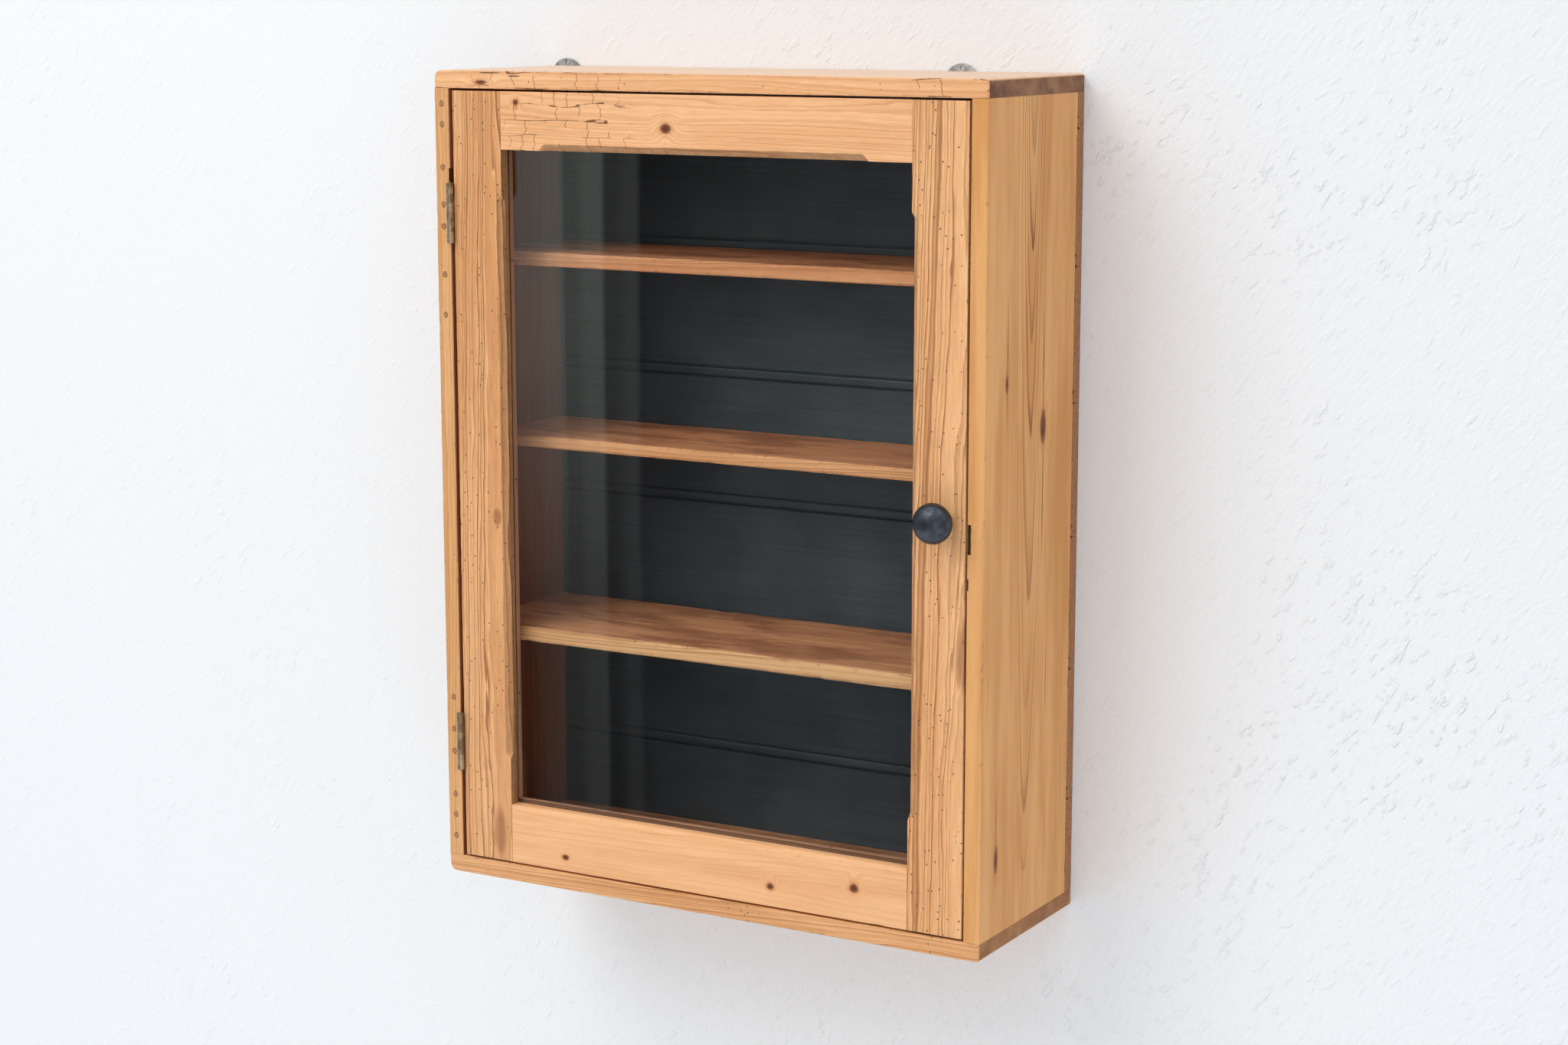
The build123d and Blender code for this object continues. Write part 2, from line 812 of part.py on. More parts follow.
inner_corners = (
    (sight_left, sight_bottom),
    (sight_right, sight_bottom),
    (sight_right, sight_top),
    (sight_left, sight_top),
)
outer_corners = (
    (sight_left - rebate_width, sight_bottom - rebate_width),
    (sight_right + rebate_width, sight_bottom - rebate_width),
    (sight_right + rebate_width, sight_top + rebate_width),
    (sight_left - rebate_width, sight_top + rebate_width),
)
for corner, bead_name, pin_seats in (
    (0, "bottom_glazing_bead", bottom_pin_seats),
    (1, "right_glazing_bead", right_pin_seats),
    (2, "top_glazing_bead", top_pin_seats),
    (3, "left_glazing_bead", left_pin_seats),
):
    with BuildPart() as glazing_bead:
        with BuildSketch(cross_plane(glass_back)):
            with BuildLine():
                Polyline(
                    inner_corners[corner],
                    outer_corners[corner],
                    outer_corners[(corner + 1) % 4],
                    inner_corners[(corner + 1) % 4],
                    close=True,
                )
            make_face()
        extrude(amount=-(door_back - glass_back))
        place(glazing_pin_hole, pin_seats, mode=Mode.SUBTRACT)
    glazing_bead.part.label = bead_name
    export_step(glazing_bead.part, f"parts/{bead_name}.step")

with BuildPart() as glazing_pins:
    place(glazing_pin, left_pin_seats + right_pin_seats + bottom_pin_seats + top_pin_seats)
glazing_pins.part.label = "glazing_pins"
export_step(glazing_pins.part, "parts/glazing_pins.step")

# ---------------------------------------------------------------- knob
knob_axis = Axis((knob_x, front, knob_z), (0, -1, 0))
with BuildPart() as knob:
    with BuildSketch(Plane(origin=(knob_x, front, knob_z), x_dir=(1, 0, 0), z_dir=(0, 0, 1))):
        with Locations((0, -knob_neck_length - knob_head_depth / 2)):
            Ellipse(knob_radius, knob_head_depth / 2)
        Rectangle(
            knob_neck_radius,
            knob_neck_length + knob_head_depth / 2,
            align=(Align.MIN, Align.MAX),
        )
        Rectangle(
            knob_foot_radius,
            knob_foot_thickness,
            align=(Align.MIN, Align.MAX),
        )
        Rectangle(
            knob_radius,
            knob_neck_length + knob_head_depth,
            align=(Align.MIN, Align.MAX),
            mode=Mode.INTERSECT,
        )
    revolve(axis=knob_axis)
    with Locations(Plane(origin=(knob_x, front, knob_z), z_dir=(0, 1, 0))):
        Cylinder(
            knob_screw_radius + fit_clearance,
            knob_screw_reach + fit_clearance,
            align=(Align.CENTER, Align.CENTER, Align.MAX),
            mode=Mode.SUBTRACT,
        )
knob.part.label = "knob"
export_step(knob.part, "parts/knob.step")

with BuildPart() as knob_screw:
    with Locations(Plane(origin=(knob_x, door_back, knob_z), z_dir=(0, 1, 0))):
        Cylinder(
            knob_screw_radius,
            door_thickness + knob_screw_reach,
            align=(Align.CENTER, Align.CENTER, Align.MAX),
        )
        Cylinder(
            2 * knob_screw_radius,
            knob_screw_radius,
            align=(Align.CENTER, Align.CENTER, Align.MIN),
        )
    chamfer(
        knob_screw.edges().filter_by(GeomType.CIRCLE).sort_by(Axis.Y)[-1],
        length=knob_screw_radius / 3,
    )
    with Locations(Plane(origin=(knob_x, door_back + knob_screw_radius, knob_z), z_dir=(0, 1, 0))):
        Box(
            4 * knob_screw_radius,
            screw_slot,
            knob_screw_radius / 2,
            align=(Align.CENTER, Align.CENTER, Align.MAX),
            mode=Mode.SUBTRACT,
        )
knob_screw.part.label = "knob_screw"
export_step(knob_screw.part, "parts/knob_screw.step")


# ---------------------------------------------------------------- hinges
knuckle_pitch = hinge_length / knuckle_count


def leaf_blank(bottom, outward, first_knuckle):
    """Cut a hinge leaf and its knuckles. outward is -1 for the casing's leaf, +1 for the door's."""
    outer_face = hinge_x + outward * hinge_gap / 2
    inner_face = outer_face - outward * leaf_thickness
    block(
        min(inner_face, outer_face),
        max(inner_face, outer_face),
        front,
        front + leaf_width,
        bottom,
        bottom + hinge_length,
    )
    for knuckle in range(first_knuckle, knuckle_count, 2):
        knuckle_low = bottom + knuckle * knuckle_pitch + knuckle_clearance / 2
        knuckle_height = knuckle_pitch - knuckle_clearance
        block(
            min(inner_face, outer_face),
            max(inner_face, outer_face),
            hinge_y,
            front,
            knuckle_low,
            knuckle_low + knuckle_height,
        )
        with Locations((hinge_x, hinge_y, knuckle_low)):
            Cylinder(
                knuckle_radius,
                knuckle_height,
                align=(Align.CENTER, Align.CENTER, Align.MIN),
            )
    with Locations((hinge_x, hinge_y, bottom)):
        Cylinder(
            pin_radius + pin_running_clearance,
            hinge_length,
            align=(Align.CENTER, Align.CENTER, Align.MIN),
            mode=Mode.SUBTRACT,
        )


for hinge_name, hinge_bottom in (
    ("upper_hinge", upper_hinge_bottom),
    ("lower_hinge", lower_hinge_bottom),
):
    with BuildPart() as case_leaf:
        leaf_blank(hinge_bottom, -1, 0)
        place(leaf_screw_hole, case_leaf_seats, mode=Mode.SUBTRACT)
    case_leaf.part.label = f"{hinge_name}_case_leaf"
    export_step(case_leaf.part, f"parts/{hinge_name}_case_leaf.step")

    with BuildPart() as door_leaf:
        leaf_blank(hinge_bottom, 1, 1)
        place(leaf_screw_hole, door_leaf_seats, mode=Mode.SUBTRACT)
    door_leaf.part.label = f"{hinge_name}_door_leaf"
    export_step(door_leaf.part, f"parts/{hinge_name}_door_leaf.step")

    with BuildPart() as hinge_pin:
        with Locations((hinge_x, hinge_y, hinge_bottom)):
            Cylinder(
                pin_radius,
                hinge_length,
                align=(Align.CENTER, Align.CENTER, Align.MIN),
            )
        for end in (hinge_bottom, hinge_bottom + hinge_length):
            with Locations((hinge_x, hinge_y, end)):
                Sphere(pin_radius)
    hinge_pin.part.label = f"{hinge_name}_pin"
    export_step(hinge_pin.part, f"parts/{hinge_name}_pin.step")

with BuildPart() as hinge_case_screws:
    place(leaf_screw, case_leaf_seats)
hinge_case_screws.part.label = "hinge_case_screws"
export_step(hinge_case_screws.part, "parts/hinge_case_screws.step")

with BuildPart() as hinge_door_screws:
    place(leaf_screw, door_leaf_seats)
hinge_door_screws.part.label = "hinge_door_screws"
export_step(hinge_door_screws.part, "parts/hinge_door_screws.step")

# ---------------------------------------------------------------- catch
catch_left = opening_half - catch_width
catch_back = catch_front + catch_depth
magnet_x = strike_x
with BuildPart() as catch_body:
    block(
        catch_left,
        opening_half,
        catch_front,
        catch_back,
        catch_z - catch_length / 2,
        catch_z + catch_length / 2,
    )
    block(
        opening_half - catch_ear_thickness,
        opening_half,
        catch_front,
        catch_back,
        catch_z - catch_length / 2 - catch_ear_length,
        catch_z + catch_length / 2 + catch_ear_length,
    )
    block(
        magnet_x - magnet_width / 2,
        magnet_x + magnet_width / 2,
        catch_front,
        catch_front + magnet_depth - magnet_stand_out,
        catch_z - magnet_length / 2,
        catch_z + magnet_length / 2,
        mode=Mode.SUBTRACT,
    )
    place(catch_screw_hole, catch_seats, mode=Mode.SUBTRACT)
catch_body.part.label = "catch_body"
export_step(catch_body.part, "parts/catch_body.step")

with BuildPart() as catch_magnet:
    block(
        magnet_x - magnet_width / 2,
        magnet_x + magnet_width / 2,
        catch_front - magnet_stand_out,
        catch_front + magnet_depth - magnet_stand_out,
        catch_z - magnet_length / 2,
        catch_z + magnet_length / 2,
    )
catch_magnet.part.label = "catch_magnet"
export_step(catch_magnet.part, "parts/catch_magnet.step")

with BuildPart() as catch_screws:
    place(catch_screw, catch_seats)
catch_screws.part.label = "catch_screws"
export_step(catch_screws.part, "parts/catch_screws.step")

with BuildPart() as strike_plate:
    block(
        strike_x - strike_width / 2,
        strike_x + strike_width / 2,
        door_back,
        strike_back,
        catch_z - strike_length / 2,
        catch_z + strike_length / 2,
    )
    place(strike_screw_hole, strike_seats, mode=Mode.SUBTRACT)
strike_plate.part.label = "strike_plate"
export_step(strike_plate.part, "parts/strike_plate.step")

with BuildPart() as strike_screws:
    place(strike_screw, strike_seats)
strike_screws.part.label = "strike_screws"
export_step(strike_screws.part, "parts/strike_screws.step")
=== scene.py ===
"""Dresses the display case: old pine boards with worn edges, painted back boards, glass and ironwork."""

import sys
import logging
import math
import random
from dataclasses import dataclass, field
from enum import Enum
from typing import Mapping, Sequence, Union

import bpy
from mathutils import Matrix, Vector, noise


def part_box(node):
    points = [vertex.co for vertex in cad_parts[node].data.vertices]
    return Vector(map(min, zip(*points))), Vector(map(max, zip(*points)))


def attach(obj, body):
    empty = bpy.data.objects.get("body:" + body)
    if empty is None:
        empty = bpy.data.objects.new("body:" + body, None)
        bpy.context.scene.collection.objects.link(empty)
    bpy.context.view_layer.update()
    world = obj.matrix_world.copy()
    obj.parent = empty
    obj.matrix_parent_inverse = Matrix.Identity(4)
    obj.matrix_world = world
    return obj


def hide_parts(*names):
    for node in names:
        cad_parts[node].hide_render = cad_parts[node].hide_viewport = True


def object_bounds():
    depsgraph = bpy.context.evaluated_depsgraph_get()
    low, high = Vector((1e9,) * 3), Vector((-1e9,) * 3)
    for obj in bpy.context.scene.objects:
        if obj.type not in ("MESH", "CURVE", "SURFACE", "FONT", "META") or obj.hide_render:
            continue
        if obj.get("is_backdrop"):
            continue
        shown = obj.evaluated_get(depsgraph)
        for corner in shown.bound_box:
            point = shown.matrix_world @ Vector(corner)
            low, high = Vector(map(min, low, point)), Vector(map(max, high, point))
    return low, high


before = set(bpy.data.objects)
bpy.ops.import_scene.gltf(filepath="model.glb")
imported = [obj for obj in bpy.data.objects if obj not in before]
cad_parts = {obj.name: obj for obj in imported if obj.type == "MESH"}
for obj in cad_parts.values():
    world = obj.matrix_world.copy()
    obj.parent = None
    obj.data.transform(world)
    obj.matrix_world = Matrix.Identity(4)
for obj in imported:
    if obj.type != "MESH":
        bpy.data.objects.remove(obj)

LOG = logging.getLogger("display_case")
MM = 0.001
ARC_STEPS = 4  # short runs that make up one rounded corner
SHARP_ANGLE = math.radians(38)  # edges that turn more than this stay crisp
CENTRE = (0.5, 0.5, 0.5)  # the middle value of a noise colour
BOTH_SIDES = (-0.02, 0.02)  # mm before and after a sudden step, where a section goes
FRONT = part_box("door_left_stile")[0][1] / MM  # the case's front face
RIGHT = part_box("right_side")[1][0] / MM  # its right face
THROUGH = 30.0  # mm, which is more than any board is thick
SMOOTH = {"interpolation_type": "SMOOTHSTEP"}

# what lies in or on the old pine besides its own colour, with the painted highlight and painted shade laid on
# it
PAINTED_RIDGE_HIGHLIGHT = "#FFD9A8"
RESIN_STREAK = "#7A4626"
HIDDEN_KNOT = "#8A5230"
WORM_HOLE = "#4E2A14"
CRACKED_VARNISH = "#5E3519"
GRIME_AND_PAINTED_SHADE = "#5C3319"
# round each knot, from outside in: where it starts and stops, how strong and what colour it is
KNOT_LAYERS = (
    (0.8, 2.2, 0.4, "#B8703F"),
    (0.85, 1.1, 0.85, "#84492A"),
    (0.3, 0.8, 0.75, "#47220F"),
)

Socket = bpy.types.NodeSocket
Value = Union[float, Sequence[float], Socket]
Point = tuple[float, float, float]
Span = tuple[float, float]  # where something starts and stops


# ------------------------------------------------------------------ small helpers
def linear(hex_colour: str) -> tuple[float, float, float, float]:
    """Turn an sRGB hex colour into the linear one that shaders take.

    Args:
        hex_colour: the colour, such as "#C8985C".

    Returns:
        Linear red, green and blue, and an alpha of 1.
    """
    parts = [int(hex_colour[i : i + 2], 16) / 255 for i in (1, 3, 5)]
    red, green, blue = (c / 12.92 if c <= 0.04045 else ((c + 0.055) / 1.055) ** 2.4 for c in parts)
    return red, green, blue, 1.0


def wander(seed: float, place: float, pitch: float) -> float:
    """A smooth random value between about -1 and 1.

    Args:
        seed: picks one of many curves.
        place: how far along the curve, in mm.
        pitch: the distance over which the curve changes, in mm.

    Returns:
        The curve's value there.
    """
    return noise.noise(Vector((place / pitch, seed * 7.13, seed * 3.71)))


class Along(Enum):
    """Which way a board's grain runs."""

    LEVEL = "level"
    UPRIGHT = "upright"


class Nodes:
    """The node tree of one finish, which takes new nodes one call at a time."""

    def __init__(self, tree: bpy.types.NodeTree) -> None:
        """Empty the tree and keep it."""
        tree.nodes.clear()
        self.tree = tree

    def __call__(
        self, kind: str, inputs: Mapping[Union[int, str], Value], out: Union[int, str] = 0, **settings: object
    ) -> Socket:
        """Add a node with its settings, values and links.

        Args:
            kind: Blender's name for the node type, without "ShaderNode".
            inputs: a value or an output socket for each input, by its name or number.
            out: the output to return.
            settings: the node's own attributes.

        Returns:
            One output socket of the new node.
        """
        made = self.tree.nodes.new("ShaderNode" + kind)
        for name, setting in settings.items():
            setattr(made, name, setting)
        for key, value in inputs.items():
            if isinstance(value, Socket):
                self.tree.links.new(value, made.inputs[key])
            else:
                made.inputs[key].default_value = value
        return made.outputs[out]

    def finish(self, kind: str, shader: Socket) -> None:
        """Link a shader to the tree's output node."""
        self.tree.links.new(shader, self.tree.nodes.new("ShaderNode" + kind).inputs["Surface"])


# ------------------------------------------------------------------ finishes
@dataclass(frozen=True)
class Spot:
    """An ellipsoid in the case, for a knot or for a crazed patch, in mm."""

    place: Point
    reach: Point

    def distance(self, add: Nodes, row: Socket) -> Socket:
        """Distance from the middle of the spot, where 1 is its edge.

        Args:
            add: the tree that takes the nodes.
            row: the place in the case, in mm.

        Returns:
            The distance.
        """
        offset = add("VectorMath", {0: row, 1: self.place}, operation="SUBTRACT")
        scaled = add("VectorMath", {0: offset, 1: self.reach}, operation="DIVIDE")
        return add("VectorMath", {0: scaled}, out="Value", operation="LENGTH")


def in_front(x: float, z: float, wide: float, tall: float) -> Spot:
    """A spot on the case's front that goes right through the board."""
    return Spot((x, FRONT, z), (wide, THROUGH, tall))


def in_right_side(y: float, z: float, wide: float, tall: float) -> Spot:
    """A spot on the case's right side that goes right through the board."""
    return Spot((RIGHT, y, z), (THROUGH, wide, tall))


class Finish:
    """A surface that is built once as a material and then given to many pieces."""

    name: str

    def shade(self, add: Nodes) -> Socket:
        """Build the nodes and return the shader's output."""
        raise NotImplementedError

    def material(self) -> bpy.types.Material:
        """Build the material of this finish the first time, and give it out after that.

        Returns:
            The material.
        """
        known = bpy.data.materials.get(self.name)
        if known is not None:
            return known
        made = bpy.data.materials.new(self.name)
        made.use_nodes = True
        add = Nodes(made.node_tree)
        add.finish("OutputMaterial", self.shade(add))
        return made


@dataclass
class Surface:
    """What has been laid on a board so far.

    Attributes:
        add: the tree that takes its nodes.
        row: the place in the case, in mm.
        board: the place in the board as across, across and along, in mm.
        noisy: the board place, moved so that no two boards match.
        normal: which way the face looks.
        lengthwise: how much the face looks along the grain.
        ripple: short waves in the grain, about -0.5 to 0.5 on each axis.
        fibre: fine streaks along the grain, 0 to 1.
        colour: the colour so far.
        height: the relief so far, in mm.
    """

    add: Nodes
    row: Socket
    board: Socket
    noisy: Socket
    normal: Socket
    lengthwise: Socket
    ripple: Socket
    fibre: Socket
    colour: Value = (0.5, 0.5, 0.5, 1.0)
    height: Value = 0.0

    def tint(self, share: Value, tone: Value) -> None:
        """Lay a colour over what is there, by a share from 0 to 1."""
        self.colour = self.add("Mix", {0: share, 6: self.colour, 7: tone}, out=2, data_type="RGBA")

    def carve(self, mask: Socket, amount: float) -> None:
        """Raise or sink the relief by an amount in mm where the mask is 1."""
        self.height = self.add("Math", {0: mask, 1: amount, 2: self.height}, operation="MULTIPLY_ADD")


@dataclass(frozen=True)
class OldPine(Finish):
    """Hand-planed pine, waxed and a century old.

    The growth rings are one solid pattern, so that a face shows arched or straight grain and an end
    shows arcs, as the saw left them. The late wood is darker and stands a little proud of the early
    wood, which scrubbing wears away.
    """

    name: str
    along: Along
    seed: float
    pith: tuple[float, float]  # the tree's middle, across the board, in mm
    lean: tuple[float, float] = (0.0, 0.0)  # how far the tree's middle leans per mm of length
    ring: float = 3.4  # mm of growth a year
    early: str = "#E6AE74"
    warm: str = "#D79C60"
    late: str = "#A8703C"
    end: str = "#94623A"
    contrast: float = 0.6  # how much of the late wood's colour shows
    late_from: float = 0.3  # where in the year's growth the late wood begins
    outer_share: float = 1.0  # how much of it is left far from the tree's middle
    steady: float = 0.25  # how dark its palest years are beside its darkest
    heart: str = ""  # the colour of the heartwood, if the board holds some
    fibrous: float = 1.0  # how strongly its fibres show
    ridge_highlight: float = 0.2  # how much painted highlight is laid on the pale edge beside each late line
    waver: float = 10.0  # mm that the grain wanders from straight
    ripple: float = 1.4  # mm of the short waves in the grain
    ridge: float = 0.08  # mm that late wood stands proud
    roughness: float = 0.5
    knots: tuple[Spot, ...] = ()
    streaks: tuple[Spot, ...] = ()  # thin dark streaks of resin
    smudges: tuple[Spot, ...] = ()  # soft patches where a knot lies just under the face
    worm: float = 0.0  # share of the surface where beetles were at work
    nicks: float = 0.35  # how much dirt its worn corners hold
    crazed: tuple[Spot, ...] = ()
    aged: str = ""  # the colour of the face that was never scrubbed
    aged_way: Point = (0.0, 0.0, 1.0)  # where that face looks
    aged_least: float = 0.3  # how brown that face's palest streaks are
    stain: str = ""  # the colour of what was spilt on it

    def shade(self, add: Nodes) -> Socket:
        """Build the nodes of the finish.

        Args:
            add: the tree that takes them.

        Returns:
            The shader's output.
        """
        surface = self.start(add)
        pull, nearness = self.knot_fields(surface)
        self.lay_rings(surface, pull)
        self.lay_age(surface)
        self.lay_end_grain(surface)
        if self.knots:
            self.lay_knots(surface, nearness)
        self.lay_smudges(surface)
        if self.crazed:
            self.lay_crazing(surface)
        if self.worm > 0:
            self.lay_worm_holes(surface)
        self.lay_grime_and_painted_shade(surface)
        shine = add(
            "MapRange", {0: surface.fibre, 1: 0.3, 2: 0.7, 3: self.roughness - 0.06, 4: self.roughness + 0.1}
        )
        bump = add("Bump", {"Strength": 1.0, "Distance": MM, "Height": surface.height})
        # old wax lies thin, so the wood shines less than varnish would
        return add(
            "BsdfPrincipled",
            {
                "Base Color": surface.colour,
                "Roughness": shine,
                "Normal": bump,
                "IOR": 1.5,
                "Specular IOR Level": 0.25,
            },
        )

    def start(self, add: Nodes) -> Surface:
        """Work out the board's own places and its fibres.

        Args:
            add: the tree that takes the nodes.

        Returns:
            The bare surface.
        """
        where = add("TexCoord", {}, out="Object")
        normal = where.node.outputs["Normal"]
        row = add("VectorMath", {0: where, "Scale": 1 / MM}, operation="SCALE")
        faces = add("SeparateXYZ", {0: normal})
        board, lengthwise = row, faces.node.outputs[2]
        if self.along is Along.LEVEL:
            parts = add("SeparateXYZ", {0: row}).node.outputs
            board, lengthwise = add("CombineXYZ", {0: parts[1], 1: parts[2], 2: parts[0]}), faces
        noisy = add("VectorMath", {0: board, 1: (self.seed * 37, self.seed * 91, self.seed * 530)})
        # waves 7 mm across the grain and 70 mm along it
        long_waves = add("VectorMath", {0: noisy, 1: (1.0, 1.0, 0.1)}, operation="MULTIPLY")
        waves = add("TexNoise", {"Vector": long_waves, "Scale": 0.14, "Detail": 2.0}, out="Color")
        ripple = add("VectorMath", {0: waves, 1: CENTRE}, operation="SUBTRACT")
        # fibres about 0.6 mm wide and 15 mm long
        thin = add("VectorMath", {0: noisy, 1: (1.0, 1.0, 0.04)}, operation="MULTIPLY")
        fibre = add("TexNoise", {"Vector": thin, "Scale": 1.6, "Detail": 3.0})
        return Surface(add, row, board, noisy, normal, lengthwise, ripple, fibre)

    def knot_fields(self, surface: Surface) -> tuple[Value, Value]:
        """Work out where the knots are and how the rings swerve round them.

        Args:
            surface: what has been laid on the board so far.

        Returns:
            How many mm the rings are pushed aside, and the distance to the nearest knot's middle, where
            1 is its edge.
        """
        add = surface.add
        pull: Value = 0.0
        nearness: Value = 9.0
        jitter = add("SeparateXYZ", {0: surface.ripple})
        for knot in self.knots:
            away = knot.distance(add, surface.row)
            swerve = add("MapRange", {0: away, 1: 0.5, 2: 4.0, 3: 1.8 * min(knot.reach), 4: 0.0}, **SMOOTH)
            pull = add("Math", {0: swerve, 1: pull})
            rough = add("Math", {0: jitter, 1: 0.9, 2: away}, operation="MULTIPLY_ADD")
            nearness = add("Math", {0: rough, 1: nearness}, operation="MINIMUM")
        return pull, nearness

    def lay_knots(self, surface: Surface, nearness: Value) -> None:
        """Stain each knot, its dark heart, the resin round it and the streaks that run from it.

        Args:
            surface: what has been laid on the board so far.
            nearness: the distance to the nearest knot's middle, where 1 is its edge.
        """
        add = surface.add
        for start, stop, share, tone in KNOT_LAYERS:
            mask = add("MapRange", {0: nearness, 1: start, 2: stop, 3: share, 4: 0.0}, **SMOOTH)
            surface.tint(mask, linear(tone))
        for streak in self.streaks:
            away = streak.distance(add, surface.row)
            mask = add("MapRange", {0: away, 1: 0.2, 2: 1.0, 3: 0.75, 4: 0.0}, **SMOOTH)
            surface.tint(mask, linear(RESIN_STREAK))

    def lay_smudges(self, surface: Surface) -> None:
        """Brown the wood softly over each knot that lies just under the face.

        Args:
            surface: what has been laid on the board so far.
        """
        add = surface.add
        jitter = add("SeparateXYZ", {0: surface.ripple})
        for smudge in self.smudges:
            away = smudge.distance(add, surface.row)
            rough = add("Math", {0: jitter, 1: 1.2, 2: away}, operation="MULTIPLY_ADD")
            mask = add("MapRange", {0: rough, 1: 0.5, 2: 1.1, 3: 0.6, 4: 0.0}, **SMOOTH)
            surface.tint(mask, linear(HIDDEN_KNOT))

    def ring_radius(self, surface: Surface, slow: Socket, pull: Value) -> Socket:
        """Measure how far each place is from the tree's middle, round rings that waver.

        Args:
            surface: what has been laid on the board so far.
            slow: the noisy place, drawn out ten times along the grain.
            pull: how many mm the knots push the rings aside.

        Returns:
            The distance in mm.
        """
        add = surface.add
        # the grain wanders over 40 mm across the board and 400 mm along it
        waver = add("TexNoise", {"Vector": slow, "Scale": 0.025, "Detail": 1.0}, out="Color")
        waver = add("VectorMath", {0: waver, 1: CENTRE}, operation="SUBTRACT")
        bent = surface.board
        for wave, amount in ((waver, self.waver), (surface.ripple, self.ripple)):
            bent = add("VectorMath", {0: wave, 1: (amount * 2,) * 3, 2: bent}, operation="MULTIPLY_ADD")
        height = add("SeparateXYZ", {0: surface.board}).node.outputs[2]
        lean = (-self.lean[0], -self.lean[1], 0.0)
        bent = add("VectorMath", {0: height, 1: lean, 2: bent}, operation="MULTIPLY_ADD")
        bent = add("VectorMath", {0: bent, 1: (*self.pith, 0.0)}, operation="SUBTRACT")
        flat = add("VectorMath", {0: bent, 1: (1.0, 1.0, 0.0)}, operation="MULTIPLY")
        radius = add("VectorMath", {0: flat}, out="Value", operation="LENGTH")
        return add("Math", {0: radius, 1: pull})

    def late_wood(self, surface: Surface, radius: Socket) -> tuple[Socket, Socket]:
        """Work out which part of each year's growth is late wood.

        Args:
            surface: what has been laid on the board so far.
            radius: the distance from the tree's middle, in mm.

        Returns:
            How much late wood a place holds, from 0 to 1, and how much painted highlight the edge beside it
            gets.
        """
        add = surface.add
        years = add("Math", {0: radius, 1: 1 / self.ring, 2: self.seed * 17}, operation="MULTIPLY_ADD")
        # good and bad years, which follow each other in threes, make wide and narrow rings
        uneven = add("TexNoise", {"W": years, "Scale": 0.3, "Detail": 1.0}, noise_dimensions="1D")
        phase = add("Math", {0: uneven, 1: 3.0, 2: years}, operation="MULTIPLY_ADD")
        # late wood comes on slowly through the season and stops sharply at its end
        season = add("Math", {0: phase}, operation="FRACT")
        rise = add("MapRange", {0: season, 1: self.late_from, 2: 0.9}, **SMOOTH)
        fall = add("MapRange", {0: season, 1: 0.92, 2: 1.0, 3: 1.0, 4: 0.0}, **SMOOTH)
        late = add("Math", {0: rise, 1: fall}, operation="MULTIPLY")
        late = add("Math", {0: late, 1: 1.5}, operation="POWER")
        # painted highlight: the early wood just after each late line is paled, as if its ridge caught the
        # light
        ridge_highlight = add("MapRange", {0: season, 1: 0.0, 2: 0.3, 3: self.ridge_highlight, 4: 0.0}, **SMOOTH)
        vigour = add("TexNoise", {"W": years, "Scale": 0.9, "Detail": 0.0}, noise_dimensions="1D")
        strength = add("MapRange", {0: vigour, 1: 0.35, 2: 0.65, 3: self.steady, 4: 1.0})
        late = add("Math", {0: late, 1: strength}, operation="MULTIPLY")
        outer = add("MapRange", {0: radius, 1: 12.0, 2: 45.0, 3: 1.0, 4: self.outer_share}, **SMOOTH)
        return add("Math", {0: late, 1: outer}, operation="MULTIPLY"), ridge_highlight

    def lay_rings(self, surface: Surface, pull: Value) -> None:
        """Lay the early and late wood of every year.

        Args:
            surface: what has been laid on the board so far.
            pull: how many mm the knots push the rings aside.
        """
        add = surface.add
        slow = add("VectorMath", {0: surface.noisy, 1: (1.0, 1.0, 0.1)}, operation="MULTIPLY")
        radius = self.ring_radius(surface, slow, pull)
        late, ridge_highlight = self.late_wood(surface, radius)
        # warmer patches about 25 mm wide and 250 mm long
        patch = add("TexNoise", {"Vector": slow, "Scale": 0.04, "Detail": 3.0, "Roughness": 0.6})
        patch = add("MapRange", {0: patch, 1: 0.35, 2: 0.65}, **SMOOTH)
        surface.tint(1.0, linear(self.early))
        surface.tint(patch, linear(self.warm))
        # painted highlight on the pale edge beside each late line
        surface.tint(ridge_highlight, linear(PAINTED_RIDGE_HIGHLIGHT))
        if self.heart:
            inner = add("MapRange", {0: radius, 1: 9.0, 2: 17.0, 3: 0.5, 4: 0.0}, **SMOOTH)
            surface.tint(inner, linear(self.heart))
        late_share = add("Math", {0: late, 1: self.contrast}, operation="MULTIPLY")
        surface.tint(late_share, linear(self.late))
        tones = {3: 1 - 0.1 * self.fibrous, 4: 1 + 0.07 * self.fibrous}
        streak = add("MapRange", {0: surface.fibre, 1: 0.3, 2: 0.7, **tones})
        surface.colour = add("VectorMath", {0: surface.colour, "Scale": streak}, operation="SCALE")
        surface.carve(late, self.ridge)
        surface.carve(surface.fibre, 0.1 * self.fibrous)

    def lay_age(self, surface: Surface) -> None:
        """Darken the face that was never scrubbed, more in some streaks than in others.

        Args:
            surface: what has been laid on the board so far.
        """
        if not self.aged:
            return
        add = surface.add
        look = {0: surface.normal, 1: self.aged_way}
        toward = add("VectorMath", look, out="Value", operation="DOT_PRODUCT")
        facing = add("MapRange", {0: toward, 1: 0.6, 2: 0.95})
        # streaks about 8 mm wide and 170 mm long
        long = add("VectorMath", {0: surface.noisy, 1: (1.0, 1.0, 0.05)}, operation="MULTIPLY")
        streaks = add("TexNoise", {"Vector": long, "Scale": 0.12, "Detail": 4.0, "Roughness": 0.65})
        share = add("MapRange", {0: streaks, 1: 0.35, 2: 0.62, 3: self.aged_least, 4: 0.95}, **SMOOTH)
        surface.tint(add("Math", {0: share, 1: facing}, operation="MULTIPLY"), linear(self.aged))
        if not self.stain:
            return
